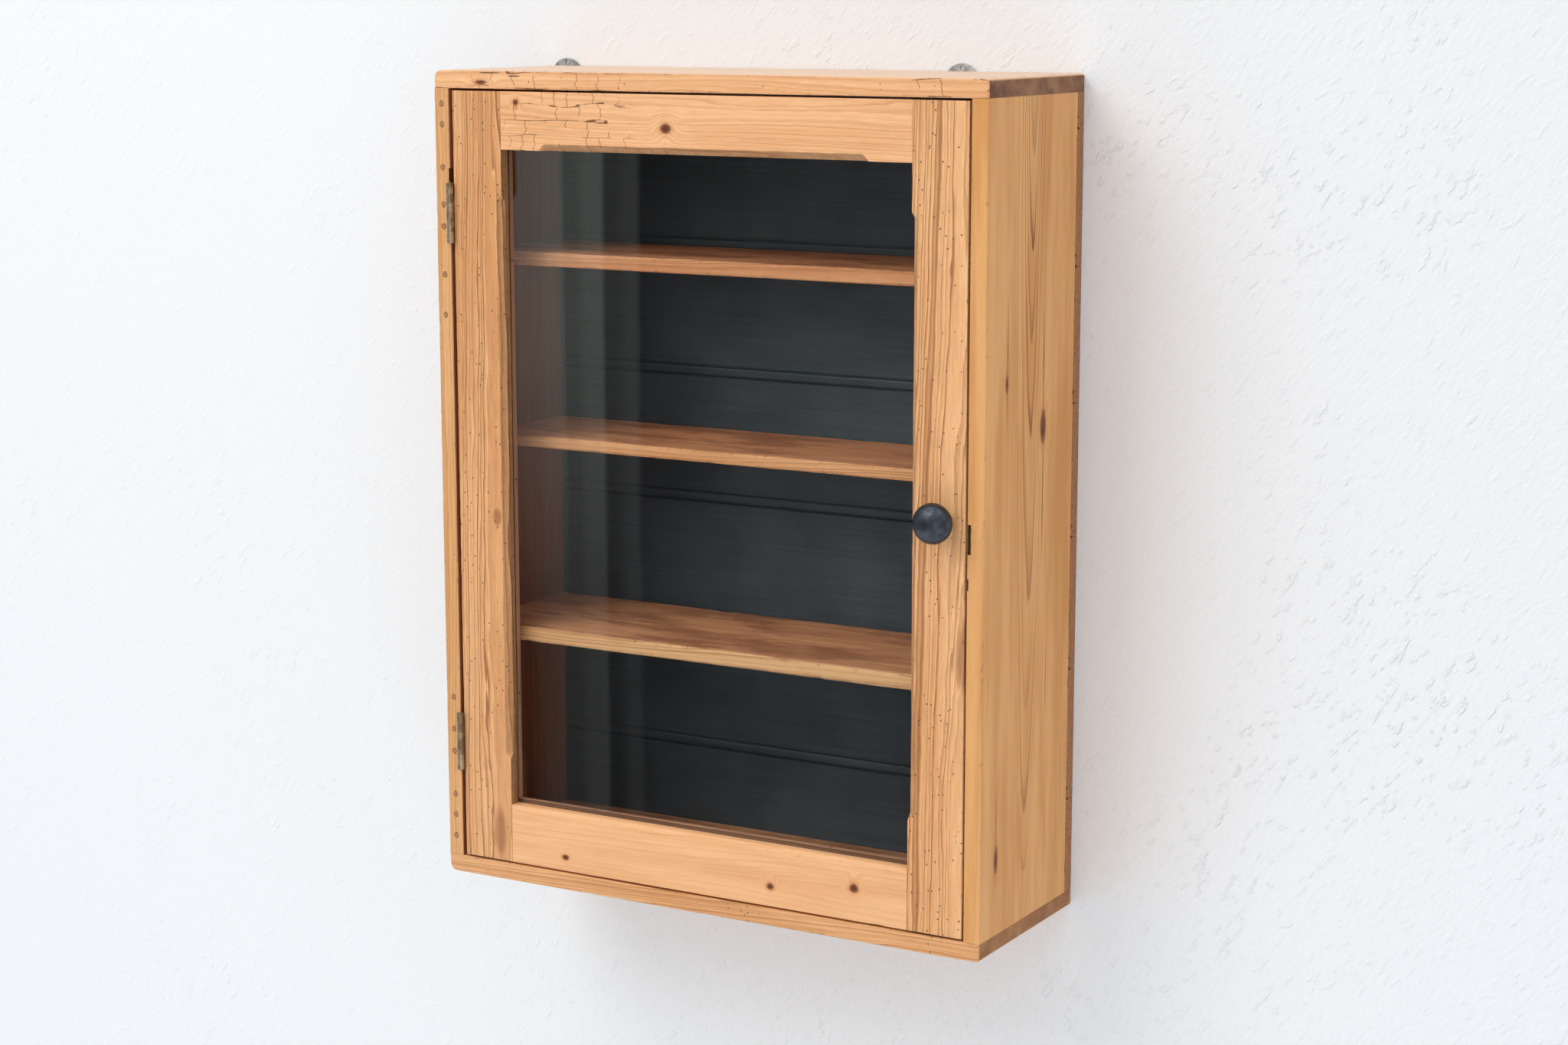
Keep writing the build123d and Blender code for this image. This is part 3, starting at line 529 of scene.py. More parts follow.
        # blots about 33 mm wide and 110 mm long
        broad = add("VectorMath", {0: surface.noisy, 1: (1.0, 1.0, 0.3)}, operation="MULTIPLY")
        blots = add("TexNoise", {"Vector": broad, "Scale": 0.03, "Detail": 5.0, "Roughness": 0.65})
        blots = add("MapRange", {0: blots, 1: 0.47, 2: 0.62, 3: 0.0, 4: 0.6}, **SMOOTH)
        surface.tint(add("Math", {0: blots, 1: facing}, operation="MULTIPLY"), linear(self.stain))

    def lay_end_grain(self, surface: Surface) -> None:
        """Darken the ends, where open grain drinks wax and dirt.

        Args:
            surface: what has been laid on the board so far.
        """
        add = surface.add
        facing = add("Math", {0: surface.lengthwise}, operation="ABSOLUTE")
        cut = add("MapRange", {0: facing, 1: 0.75, 2: 0.95})
        # clouds about 17 mm across
        clouds = add("TexNoise", {"Vector": surface.noisy, "Scale": 0.06, "Detail": 3.0})
        share = add("MapRange", {0: clouds, 1: 0.35, 2: 0.65, 3: 0.7, 4: 0.95})
        surface.tint(add("Math", {0: share, 1: cut}, operation="MULTIPLY"), linear(self.end))

    def lay_worm_holes(self, surface: Surface) -> None:
        """Drill flight holes about 1 mm across, at most one in every 6 mm, in swarms 33 mm wide.

        Args:
            surface: what has been laid on the board so far.
        """
        add = surface.add
        cells = add("TexVoronoi", {"Vector": surface.noisy, "Scale": 1 / 6.0})
        ragged = add("Math", {0: surface.fibre, 1: -0.12, 2: cells}, operation="MULTIPLY_ADD")
        swarm = add("TexNoise", {"Vector": surface.noisy, "Scale": 0.03, "Detail": 2.0})
        edge = 0.66 - 0.3 * self.worm
        busy = add("MapRange", {0: swarm, 1: edge, 2: edge + 0.04})
        reach = 0.03 + 0.035 * self.worm
        hole = add("MapRange", {0: ragged, 1: 0.35 * reach, 2: reach, 3: 0.85, 4: 0.0})
        hole = add("Math", {0: hole, 1: busy}, operation="MULTIPLY")
        surface.tint(hole, linear(WORM_HOLE))
        surface.carve(hole, -0.8)

    def lay_crazing(self, surface: Surface) -> None:
        """Break the old varnish into square-cornered cracks where it once blistered.

        Args:
            surface: what has been laid on the board so far.
        """
        add = surface.add
        zone: Value = 0.0
        for spot in self.crazed:
            near = add("MapRange", {0: spot.distance(add, surface.row), 1: 0.7, 2: 1.0, 3: 1.0, 4: 0.0})
            zone = add("Math", {0: near, 1: zone}, operation="MAXIMUM")
        # cracks 0.6 mm wide round fields about 21 mm long and 13 mm wide
        parts = add("SeparateXYZ", {0: surface.board}).node.outputs
        flat = add("CombineXYZ", {0: parts[2], 1: add("Math", {0: parts[0], 1: parts[1]})})
        sideways = {0: surface.ripple, 1: (12.0, 12.0, 0.0), 2: flat}
        jogged = add("VectorMath", sideways, operation="MULTIPLY_ADD")
        fields = {"Vector": jogged, "Scale": 1.0, "Mortar Size": 0.3, "Mortar Smooth": 0.3}
        fields |= {"Brick Width": 21.0, "Row Height": 13.0}
        crack = add("TexBrick", fields, out="Fac", squash=0.6, squash_frequency=3)
        broken = add("TexNoise", {"Vector": surface.noisy, "Scale": 0.05, "Detail": 2.0})
        broken = add("MapRange", {0: broken, 1: 0.45, 2: 0.48})
        crack = add("Math", {0: crack, 1: broken}, operation="MULTIPLY")
        crack = add("Math", {0: crack, 1: zone}, operation="MULTIPLY")
        surface.tint(add("Math", {0: crack, 1: 0.85}, operation="MULTIPLY"), linear(CRACKED_VARNISH))
        surface.carve(crack, -0.25)

    def lay_grime_and_painted_shade(self, surface: Surface) -> None:
        """Lay painted shade and grime where the sections ask for it, on chamfers, notches and the lip before
        the glass, and dirt here and there on a worn corner.

        Args:
            surface: what has been laid on the board so far.
        """
        add = surface.add
        worn = add("Attribute", {}, out="Fac", attribute_name="worn")
        shade_and_grime = add("Attribute", {}, out="Fac", attribute_name="shade_and_grime")
        # dirt, and the painted shade, in flecks about 6 mm across
        dirt_and_shade = add("TexNoise", {"Vector": surface.noisy, "Scale": 0.16, "Detail": 4.0, "Roughness": 0.7})
        nicks = add("MapRange", {0: dirt_and_shade, 1: 0.57, 2: 0.66, 3: 0.0, 4: self.nicks}, **SMOOTH)
        nicks = add("Math", {0: nicks, 1: worn}, operation="MULTIPLY")
        cloud = add("MapRange", {0: dirt_and_shade, 1: 0.35, 2: 0.65, 3: 0.75, 4: 1.1})
        deep = add("Math", {0: cloud, 1: shade_and_grime}, operation="MULTIPLY")
        surface.tint(add("Math", {0: nicks, 1: deep}, operation="MAXIMUM"), linear(GRIME_AND_PAINTED_SHADE))


@dataclass(frozen=True)
class BrushedPaint(Finish):
    """Oil paint brushed level on the back boards, with bare old wood where the brush didn't reach."""

    name: str = "slate_oil_paint_brushed"
    paint: str = "#4A525F"
    thin_paint: str = "#373F4B"
    wood: str = "#A86E3E"
    paint_depth: float = 86.5  # mm: what lies nearer the wall is bare
    paint_half_width: float = 246.0  # mm: what lies inside the sides

    def shade(self, add: Nodes) -> Socket:
        """Build the nodes of the finish.

        Args:
            add: the tree that takes them.

        Returns:
            The shader's output.
        """
        where = add("TexCoord", {}, out="Object")
        row = add("VectorMath", {0: where, "Scale": 1 / MM}, operation="SCALE")
        parts = add("SeparateXYZ", {0: row}).node.outputs
        # brush marks about 3 mm apart and 150 mm long; real bristle marks are finer than can be drawn
        marks = add("VectorMath", {0: row, 1: (0.02, 1.0, 1.0)}, operation="MULTIPLY")
        strokes = add("TexNoise", {"Vector": marks, "Scale": 0.33, "Detail": 2.0, "Roughness": 0.6})
        # thick and thin coats in clouds about 80 mm across
        clouds = add("TexNoise", {"Vector": row, "Scale": 0.012, "Detail": 3.0})
        blend = add("Math", {0: strokes, 1: 0.6, 2: clouds}, operation="MULTIPLY_ADD")
        blend = add("MapRange", {0: blend, 1: 0.6, 2: 1.0})
        paint = add(
            "Mix", {0: blend, 6: linear(self.thin_paint), 7: linear(self.paint)}, out=2, data_type="RGBA"
        )
        # painted light and shade: the paint is darkened towards the left, where the case's left side shades
        # the back, and brightened towards the right, where light falls on it
        painted_side_shade = add("MapRange", {0: parts[0], 1: -160.0, 2: 140.0, 3: 0.7, 4: 1.2}, **SMOOTH)
        paint = add("VectorMath", {0: paint, "Scale": painted_side_shade}, operation="SCALE")
        behind = add("Math", {0: parts[1], 1: self.paint_depth}, operation="GREATER_THAN")
        outward = add("Math", {0: parts[0]}, operation="ABSOLUTE")
        outside = add("Math", {0: outward, 1: self.paint_half_width}, operation="GREATER_THAN")
        bare = add("Math", {0: behind, 1: outside}, operation="MAXIMUM")
        fibres = add("TexNoise", {"Vector": marks, "Scale": 0.5, "Detail": 5.0})
        tone = add("MapRange", {0: fibres, 1: 0.3, 2: 0.7, 3: 0.6, 4: 1.15})
        wood = add("VectorMath", {0: linear(self.wood)[:3], "Scale": tone}, operation="SCALE")
        cells = add("TexVoronoi", {"Vector": row, "Scale": 1 / 6.0})
        holes = add("MapRange", {0: cells, 1: 0.1, 2: 0.15, 3: 0.25, 4: 1.0})
        wood = add("VectorMath", {0: wood, "Scale": holes}, operation="SCALE")
        colour = add("Mix", {0: bare, 6: paint, 7: wood}, out=2, data_type="RGBA")
        shine = add("MapRange", {0: strokes, 1: 0.3, 2: 0.7, 3: 0.38, 4: 0.55})
        bump = add("Bump", {"Strength": 1.0, "Distance": 0.12 * MM, "Height": strokes})
        return add("BsdfPrincipled", {"Base Color": colour, "Roughness": shine, "Normal": bump, "IOR": 1.5})


@dataclass(frozen=True)
class SheetGlass(Finish):
    """Old drawn sheet glass: clear, with slow waves that bend what it mirrors."""

    name: str = "drawn_sheet_glass"

    def shade(self, add: Nodes) -> Socket:
        """Build the nodes of the finish.

        Args:
            add: the tree that takes them.

        Returns:
            The shader's output.
        """
        where = add("TexCoord", {}, out="Object")
        drawn = add("VectorMath", {0: where, 1: (1.0, 1.0, 0.2)}, operation="MULTIPLY")
        # waves about 80 mm apart, a few hundredths of a millimetre high
        waves = add("TexNoise", {"Vector": drawn, "Scale": 12.0, "Detail": 0.0})
        bump = add("Bump", {"Strength": 1.0, "Distance": 0.05 * MM, "Height": waves})
        # the faint green of old glass, seen twice in its thickness
        glass = add(
            "BsdfPrincipled",
            {
                "Base Color": linear("#F2F9F6"),
                "Roughness": 0.0,
                "IOR": 1.5,
                "Transmission Weight": 1.0,
                "Normal": bump,
            },
        )
        clear = add("BsdfTransparent", {"Color": linear("#F2F9F6")})
        shadow_ray = add("LightPath", {}, out="Is Shadow Ray")
        return add("MixShader", {0: shadow_ray, 1: glass, 2: clear})


@dataclass(frozen=True)
class Metal(Finish):
    """A metal fitting dulled by handling, with clouds of darker tarnish."""

    name: str
    bright: str
    dull: str
    roughness: float = 0.42
    metallic: float = 1.0
    grain: float = 2.0  # mm between clouds of tarnish
    relief: float = 0.02  # mm
    dent: float = 0.6  # mm between pits

    def shade(self, add: Nodes) -> Socket:
        """Build the nodes of the finish.

        Args:
            add: the tree that takes them.

        Returns:
            The shader's output.
        """
        where = add("TexCoord", {}, out="Object")
        pits = add("TexNoise", {"Vector": where, "Scale": 1 / (self.dent * MM), "Detail": 2.0})
        clouds = add("TexNoise", {"Vector": where, "Scale": 1 / (self.grain * MM), "Detail": 4.0})
        share = add("MapRange", {0: clouds, 1: 0.38, 2: 0.62}, **SMOOTH)
        colour = add("Mix", {0: share, 6: linear(self.bright), 7: linear(self.dull)}, out=2, data_type="RGBA")
        shine = add("MapRange", {0: share, 3: self.roughness, 4: min(1.0, self.roughness + 0.15)})
        bump = add("Bump", {"Strength": 1.0, "Distance": self.relief * MM, "Height": pits})
        return add(
            "BsdfPrincipled",
            {"Base Color": colour, "Metallic": self.metallic, "Roughness": shine, "Normal": bump},
        )


@dataclass(frozen=True)
class RubbedFiller(Finish):
    """Grey-brown filler in old screw holes, rubbed flush, with a dark line round it where it shrank."""

    name: str = "rubbed_down_filler"
    middle: str = "#A9794F"
    rim: str = "#74452A"

    def shade(self, add: Nodes) -> Socket:
        """Build the nodes of the finish.

        Args:
            add: the tree that takes them.

        Returns:
            The shader's output.
        """
        where = add("TexCoord", {}, out="Object")
        # chalky grain about 1 mm across
        chalk = add("TexNoise", {"Vector": where, "Scale": 900.0, "Detail": 3.0})
        tone = add("MapRange", {0: chalk, 1: 0.3, 2: 0.7, 3: 0.85, 4: 1.1})
        edge = add("Attribute", {}, out="Fac", attribute_name="worn")
        colour = add("Mix", {0: edge, 6: linear(self.middle), 7: linear(self.rim)}, out=2, data_type="RGBA")
        colour = add("VectorMath", {0: colour, "Scale": tone}, operation="SCALE")
        bump = add("Bump", {"Strength": 1.0, "Distance": 0.1 * MM, "Height": chalk})
        return add("BsdfPrincipled", {"Base Color": colour, "Roughness": 0.7, "Normal": bump, "IOR": 1.5})


@dataclass(frozen=True)
class Plaster(Finish):
    """Limewashed plaster, open from behind so that the back of the case can be seen."""

    name: str
    colour: str = "#F0F3F5"
    relief: float = 0.85  # mm

    def shade(self, add: Nodes) -> Socket:
        """Build the nodes of the finish.

        Args:
            add: the tree that takes them.

        Returns:
            The shader's output.
        """
        where = add("TexCoord", {}, out="Object")
        # trowel marks lean to the right, about 6 mm apart and 14 mm long, in patches 250 mm wide
        leaning = add("Mapping", {0: where, "Rotation": (0.0, 0.95, 0.0)})
        leaning = add("VectorMath", {0: leaning, 1: (0.45, 1.0, 1.0)}, operation="MULTIPLY")
        patches = add("TexNoise", {"Vector": where, "Scale": 4.0, "Detail": 4.0, "Roughness": 0.65})
        patches = add("MapRange", {0: patches, 1: 0.4, 2: 0.7, 3: 0.3, 4: 1.0}, **SMOOTH)
        # the wall is smoother to the left of the case
        across = add("SeparateXYZ", {0: where})
        coarser = add("MapRange", {0: across, 1: -0.3, 2: 0.5, 3: 0.5, 4: 1.0}, **SMOOTH)
        patches = add("Math", {0: patches, 1: coarser}, operation="MULTIPLY")
        heights: list[Socket] = []
        for aside in (0.0, 0.0009):
            beside = add("VectorMath", {0: leaning, 1: (0.0, 0.0, aside)})
            lumps = add("TexNoise", {"Vector": beside, "Scale": 155.0, "Detail": 4.0, "Roughness": 0.6})
            crust = add("MapRange", {0: lumps, 1: 0.56, 2: 0.72}, **SMOOTH)
            crust = add("Math", {0: crust, 1: patches}, operation="MULTIPLY")
            # grit about 4 mm apart all over; real grit is finer than can be drawn
            grit = add("TexNoise", {"Vector": beside, "Scale": 240.0, "Detail": 3.0, "Roughness": 0.6})
            grit = add("Math", {0: grit, 1: coarser}, operation="MULTIPLY")
            heights.append(add("Math", {0: grit, 1: 0.8, 2: crust}, operation="MULTIPLY_ADD"))
        # painted light and shade: each lump is paler on its upper side and darker below, as if lit from above
        painted_relief_shade = add("Math", {0: heights[0], 1: heights[1]}, operation="SUBTRACT")
        tone = add("MapRange", {0: painted_relief_shade, 1: -0.4, 2: 0.4, 3: 0.9, 4: 1.05})
        colour = add("VectorMath", {0: linear(self.colour)[:3], "Scale": tone}, operation="SCALE")
        bump = add("Bump", {"Strength": 1.0, "Distance": self.relief * MM, "Height": heights[0]})
        wall = add(
            "BsdfPrincipled",
            {"Base Color": colour, "Roughness": 0.9, "Normal": bump, "Specular IOR Level": 0.2},
        )
        behind = add("NewGeometry", {}, out="Backfacing")
        return add("MixShader", {0: behind, 1: wall, 2: add("BsdfTransparent", {})})


# a glowing sheet, seen only in reflections, that paints the room's reflection in the glass
@dataclass(frozen=True)
class DimRoom(Finish):
    """What the glass mirrors: a dark room, with daylight and a hanging curtain at one side."""

    name: str = "dim_room_across"
    dark: float = 0.02
    # edge in mm, softness in mm, change of brightness and how much of that is left low down, from
    # the dark side to the daylight
    folds: tuple[tuple[float, float, float, float], ...] = (
        (-1294.0, 7.0, 0.28, 0.4),
        (-1326.0, 14.0, -0.08, 1.0),
        (-1360.0, 6.0, 0.50, 0.45),
        (-1402.0, 12.0, -0.16, 0.6),
        (-1437.0, 4.0, 0.32, 0.1),
        (-1490.0, 40.0, -0.20, 1.0),
    )

    def shade(self, add: Nodes) -> Socket:
        """Build the nodes of the finish.

        Args:
            add: the tree that takes them.

        Returns:
            The shader's output.
        """
        where = add("TexCoord", {}, out="Object")
        parts = add("SeparateXYZ", {0: where}).node.outputs
        level: Value = self.dark
        for edge, soft, change, low in self.folds:
            ends = {1: (edge - soft) * MM, 2: (edge + soft) * MM, 3: 1.0, 4: 0.0}
            fold = add("MapRange", {0: parts[0], **ends}, **SMOOTH)
            fade = add("MapRange", {0: parts[2], 1: -0.4, 2: 0.35, 3: change * low, 4: change}, **SMOOTH)
            level = add("Math", {0: fold, 1: fade, 2: level}, operation="MULTIPLY_ADD")
        return add("Emission", {"Color": linear("#F2F7F0"), "Strength": level})


# ------------------------------------------------------------------ mesh building
@dataclass(frozen=True)
class Corner:
    """One corner of a board's section in mm, and how much painted shade and grime the side after it gets,
    from 0 to 1.
    """

    a: float
    b: float
    radius: float
    shade_and_grime: float = 0.0


@dataclass
class Shape:
    """The points and faces of one mesh, with how worn each point is and how much painted shade and grime it
    gets.
    """

    points: list[Point] = field(default_factory=list)
    faces: list[Sequence[int]] = field(default_factory=list)
    worn: list[float] = field(default_factory=list)
    shade_and_grime: list[float] = field(default_factory=list)

    def skin(self, ring: int, first: int = 0, outward: bool = True) -> None:
        """Join rings of points with faces and close both ends.

        Args:
            ring: how many points are in each ring.
            first: the first ring's first point.
            outward: whether the rings run so that the faces look outward as they are.
        """
        rings = (len(self.points) - first) // ring
        made: list[Sequence[int]] = []
        for row in range(rings - 1):
            base = first + row * ring
            for index in range(ring):
                turn = (index + 1) % ring
                made.append((base + index, base + turn, base + ring + turn, base + ring + index))
        made.append(tuple(reversed(range(first, first + ring))))
        made.append(tuple(range(len(self.points) - ring, len(self.points))))
        self.faces += made if outward else [tuple(reversed(face)) for face in made]

    def piece(
        self, name: str, finish: Finish, body: str, replaced: Sequence[str], slot: str
    ) -> bpy.types.Object:
        """Make the mesh object, put it on its body and hide the CAD nodes it stands for.

        Args:
            name: the piece's name.
            finish: what its surface is.
            body: the body it rides on.
            replaced: the CAD nodes it stands for.
            slot: the record's material slot; not used.

        Returns:
            The new object.
        """
        mesh = bpy.data.meshes.new(name)
        mesh.from_pydata([tuple(value * MM for value in point) for point in self.points], [], self.faces)
        for polygon in mesh.polygons:
            polygon.use_smooth = True
        mesh.set_sharp_from_angle(angle=SHARP_ANGLE)
        for label, values in (("worn", self.worn), ("shade_and_grime", self.shade_and_grime)):
            if values:
                mesh.attributes.new(label, "FLOAT", "POINT").data.foreach_set("value", values)
        mesh.materials.append(finish.material())
        piece = bpy.data.objects.new(name, mesh)
        bpy.context.scene.collection.objects.link(piece)
        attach(piece, body)
        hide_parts(*replaced)
        LOG.info("%s: %d faces on %s", name, len(self.faces), body)
        return piece


def outline(corners: Sequence[Corner], steps: Sequence[int]) -> list[tuple[float, float, float, float]]:
    """Round the corners of a section and divide its sides.

    Args:
        corners: the section's corners in order.
        steps: how many points lie inside the side after each corner.

    Returns:
        For each point its place across the board in mm, how worn it is, and how much painted shade and grime
        it gets.
    """
    points = []
    count = len(corners)
    for index, corner in enumerate(corners):
        following = corners[(index + 1) % count]
        here = Vector((corner.a, corner.b))
        before = Vector((corners[index - 1].a, corners[index - 1].b)) - here
        after = Vector((following.a, following.b)) - here
        radius = min(corner.radius, before.length * 0.45, after.length * 0.45)
        start = here + before.normalized() * radius
        end = here + after.normalized() * radius
        shade = (corners[index - 1].shade_and_grime, corner.shade_and_grime)
        for step in range(ARC_STEPS + 1):
            share = step / ARC_STEPS
            place = start * (1 - share) ** 2 + here * (2 * share * (1 - share)) + end * share**2
            points.append((place.x, place.y, 1.0, shade[0] * (1 - share) + shade[1] * share))
        run_end = here + after - after.normalized() * min(following.radius, after.length * 0.45)
        for step in range(1, steps[index] + 1):
            share = 0.5 - 0.5 * math.cos(math.pi * step / (steps[index] + 1))
            place = end.lerp(run_end, share)
            points.append((place.x, place.y, 0.0, corner.shade_and_grime))
    return points


def rounding_loss(gap: float, radius: float) -> float:
    """Work out how far a rounded edge draws in.

    Args:
        gap: the distance from the end of the board, in mm.
        radius: the radius of the rounding, in mm.

    Returns:
        How far it draws in there, in mm.
    """
    if gap >= radius:
        return 0.0
    return radius - math.sqrt(max(0.0, radius**2 - (radius - gap) ** 2))


def upright_corners(depth: float, sides: Span, heights: Span) -> list[Point]:
    """List the corners of an upright sheet that faces forward, anticlockwise from the lower left.

    Args:
        depth: how far back it stands.
        sides: where it starts and stops across.
        heights: where it starts and stops upward.

    Returns:
        The four corners.
    """
    (left, right), (low, high) = sides, heights
    return [(left, depth, low), (right, depth, low), (right, depth, high), (left, depth, high)]


@dataclass
class Board:
    """A board that is lofted along its grain, with corners worn unevenly round.

    Attributes:
        node: the CAD node it stands for.
        finish: what its surface is.
        slot: the record's material slot.
        body: the body it rides on.
        wear: mean radius of its corners in mm.
        pitch: mm between sections.
        ends_round: radius of the edges at its start and end, in mm.
        steps: how many points divide each side of the section.
    """

    node: str
    finish: OldPine
    slot: str
    body: str = "casing"
    wear: float = 0.7
    pitch: float = 5.0
    ends_round: tuple[float, float] = (0.6, 0.6)
    steps: tuple[int, ...] = (10, 4, 10, 4)
    low: Vector = field(init=False)
    high: Vector = field(init=False)

    def __post_init__(self) -> None:
        """Take the board's place from its CAD node, in mm: across, across, along."""
        low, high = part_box(self.node)
        turn = (1, 2, 0) if self.finish.along is Along.LEVEL else (0, 1, 2)
        self.low = Vector([low[i] / MM for i in turn])
        self.high = Vector([high[i] / MM for i in turn])

    def ends(self) -> Span:
        """Where the visible part of the board starts and stops along the grain."""
        return self.low.z, self.high.z

    def radius(self, key: int, place: float) -> float:
        """How round one long corner is at a place along the board, with a bite out of it here and there.

        Args:
            key: which corner.
            place: the place along the board, in mm.

        Returns:
            The radius in mm.
        """
        seed = self.finish.seed + key * 1.7
        # slow wear, small dents, and now and then a bite
        slow = 0.5 * wander(seed, place, 90.0)
        quick = 0.35 * wander(seed + 40, place, 9.0)
        bite = 4.0 * max(0.0, wander(seed + 80, place, 14.0) - 0.3)
        return max(0.15, self.wear * (1 + slow + quick + bite))

    def inset(self, place: float) -> float:
        """Work out how far the section draws in where an end is rounded.

        Args:
            place: the place along the board, in mm.

        Returns:
            How far it draws in, in mm.
        """
        start, stop = self.ends()
        first, last = self.ends_round
        return max(rounding_loss(place - start, first), rounding_loss(stop - place, last))

    def corners(self, place: float) -> list[Corner]:
        """Work out the section's corners.

        Args:
            place: the place along the board, in mm.

        Returns:
            The corners in order.
        """
        drawn = self.inset(place)
        low_a, low_b = self.low.x + drawn, self.low.y + drawn
        high_a, high_b = self.high.x - drawn, self.high.y - drawn
        return [
            Corner(low_a, low_b, self.radius(0, place)),
            Corner(high_a, low_b, self.radius(1, place)),
            Corner(high_a, high_b, self.radius(2, place)),
            Corner(low_a, high_b, self.radius(3, place)),
        ]

    def extra_stations(self) -> set[float]:
        """Places that need a section of their own."""
        return set()

    def stations(self) -> list[float]:
        """Choose where the board gets a section.

        Returns:
            Every such place along the board, in mm.
        """
        start, stop = self.ends()
        first, last = self.ends_round
        places = {start, stop} | self.extra_stations()
        for share in (0.1, 0.3, 0.6, 1.0):
            places |= {start + first * share, stop - last * share}
        count = max(2, round((stop - start) / self.pitch))
        even = (start + (stop - start) * index / count for index in range(1, count))
        places |= {place for place in even if start + first < place < stop - last}
        return sorted(places)

    def build(self) -> bpy.types.Object:
        """Loft the sections into a closed mesh.

        Returns:
            The board.
        """
        shape = Shape()
        section: list[tuple[float, float, float, float]] = []
        for place in self.stations():
            section = outline(self.corners(place), self.steps)
            for a, b, worn, shade_and_grime in section:
                shape.points.append((place, a, b) if self.finish.along is Along.LEVEL else (a, b, place))
                shape.worn.append(worn)
                shape.shade_and_grime.append(shade_and_grime)
        turns = zip(section, section[1:] + section[:1])
        shape.skin(len(section), outward=sum(p[0] * q[1] - q[0] * p[1] for p, q in turns) > 0)
        return shape.piece(self.node + "_wood", self.finish, self.body, [self.node], self.slot)


@dataclass
class CaseEnd(Board):
    """The top or bottom board, whose outer edge is rounded over at both ends.

    Attributes:
        outer_is_top: whether it is the top board.
        left_round: how far the left end is rounded over, in mm.
        right_round: the same for the right end.
        left_front_share: how much of the left end's rounding its front edge gets.
        back_gap: how far its back stays short of the wall in mm, so that the inlaid plates stand clear.
    """

    outer_is_top: bool = True
    left_round: float = 7.0
    right_round: float = 3.0
    left_front_share: float = 0.15
    back_gap: float = 0.15
    steps: tuple[int, ...] = (12, 4, 12, 4)

    def corners(self, place: float) -> list[Corner]:
        """Work out the section's corners.

        Args:
            place: the place along the board, in mm.

        Returns:
            The corners in order.
        """
        start, stop = self.ends()
        drawn = self.inset(place)
        left = rounding_loss(place - start, self.left_round)
        right = rounding_loss(stop - place, self.right_round)
        over = max(left, right, drawn)
        front = self.low.x + max(drawn, left * self.left_front_share, right)
        back = self.high.x - max(drawn, self.back_gap)
        low = self.low.y + (drawn if self.outer_is_top else over)
        high = self.high.y - (over if self.outer_is_top else drawn)
        return [
            Corner(front, low, self.radius(0, place)),
            Corner(back, low, 0.4),
            Corner(back, high, self.radius(2, place)),
            Corner(front, high, self.radius(3, place)),
        ]

    def extra_stations(self) -> set[float]:
        """Add sections along the rounded ends.

        Returns:
            Their places along the board, in mm.
        """
        start, stop = self.ends()
        shares = (0.12, 0.25, 0.5, 0.75, 1.0)
        left = {start + self.left_round * share for share in shares}
        return left | {stop - self.right_round * share for share in shares}


@dataclass
class CaseSide(Board):
    """A side of the case, with the notches that old ironwork left in its inner front edge.

    Attributes:
        inner_is_high: whether its inner face is the one of the higher coordinate.
        notches: where each notch starts and stops and how wide it is, in mm.
        notch_depth: how deep the notches go, in mm.
    """

    inner_is_high: bool = True
    notches: tuple[Point, ...] = ()
    notch_depth: float = 12.0
    steps: tuple[int, ...] = (4, 1, 1, 10, 4, 12)

    def corners(self, place: float) -> list[Corner]:
        """Work out the section's corners.

        Args:
            place: the place along the board, in mm.

        Returns:
            The corners in order.
        """
        # between the notches the inner corner is only broken a little
        width, depth, dark = 0.4, 0.4, 0.0
        # inside a notch its faces get painted shade and grime
        for start, stop, wide in self.notches:
            if start < place < stop:
                width, depth, dark = wide * (1 + 0.15 * wander(4.0, place, 5.0)), self.notch_depth, 1.0
        front, back = self.low.y, self.high.y
        outer, inner, way = self.low.x, self.high.x, -1.0
        if not self.inner_is_high:
            outer, inner, way = inner, outer, 1.0
        return [
            Corner(outer, front, self.radius(0, place)),
            Corner(inner + way * width, front, 0.15, dark),
            Corner(inner + way * width, front + depth, 0.1, dark),
            Corner(inner, front + depth, 0.15),
            Corner(inner, back, 0.1),
            Corner(outer, back, self.radius(4, place)),
        ]

    def extra_stations(self) -> set[float]:
        """Places just before and after both ends of each notch."""
        edges = [place for start, stop, _ in self.notches for place in (start, stop)]
        return {place + nudge for place in edges for nudge in BOTH_SIDES}


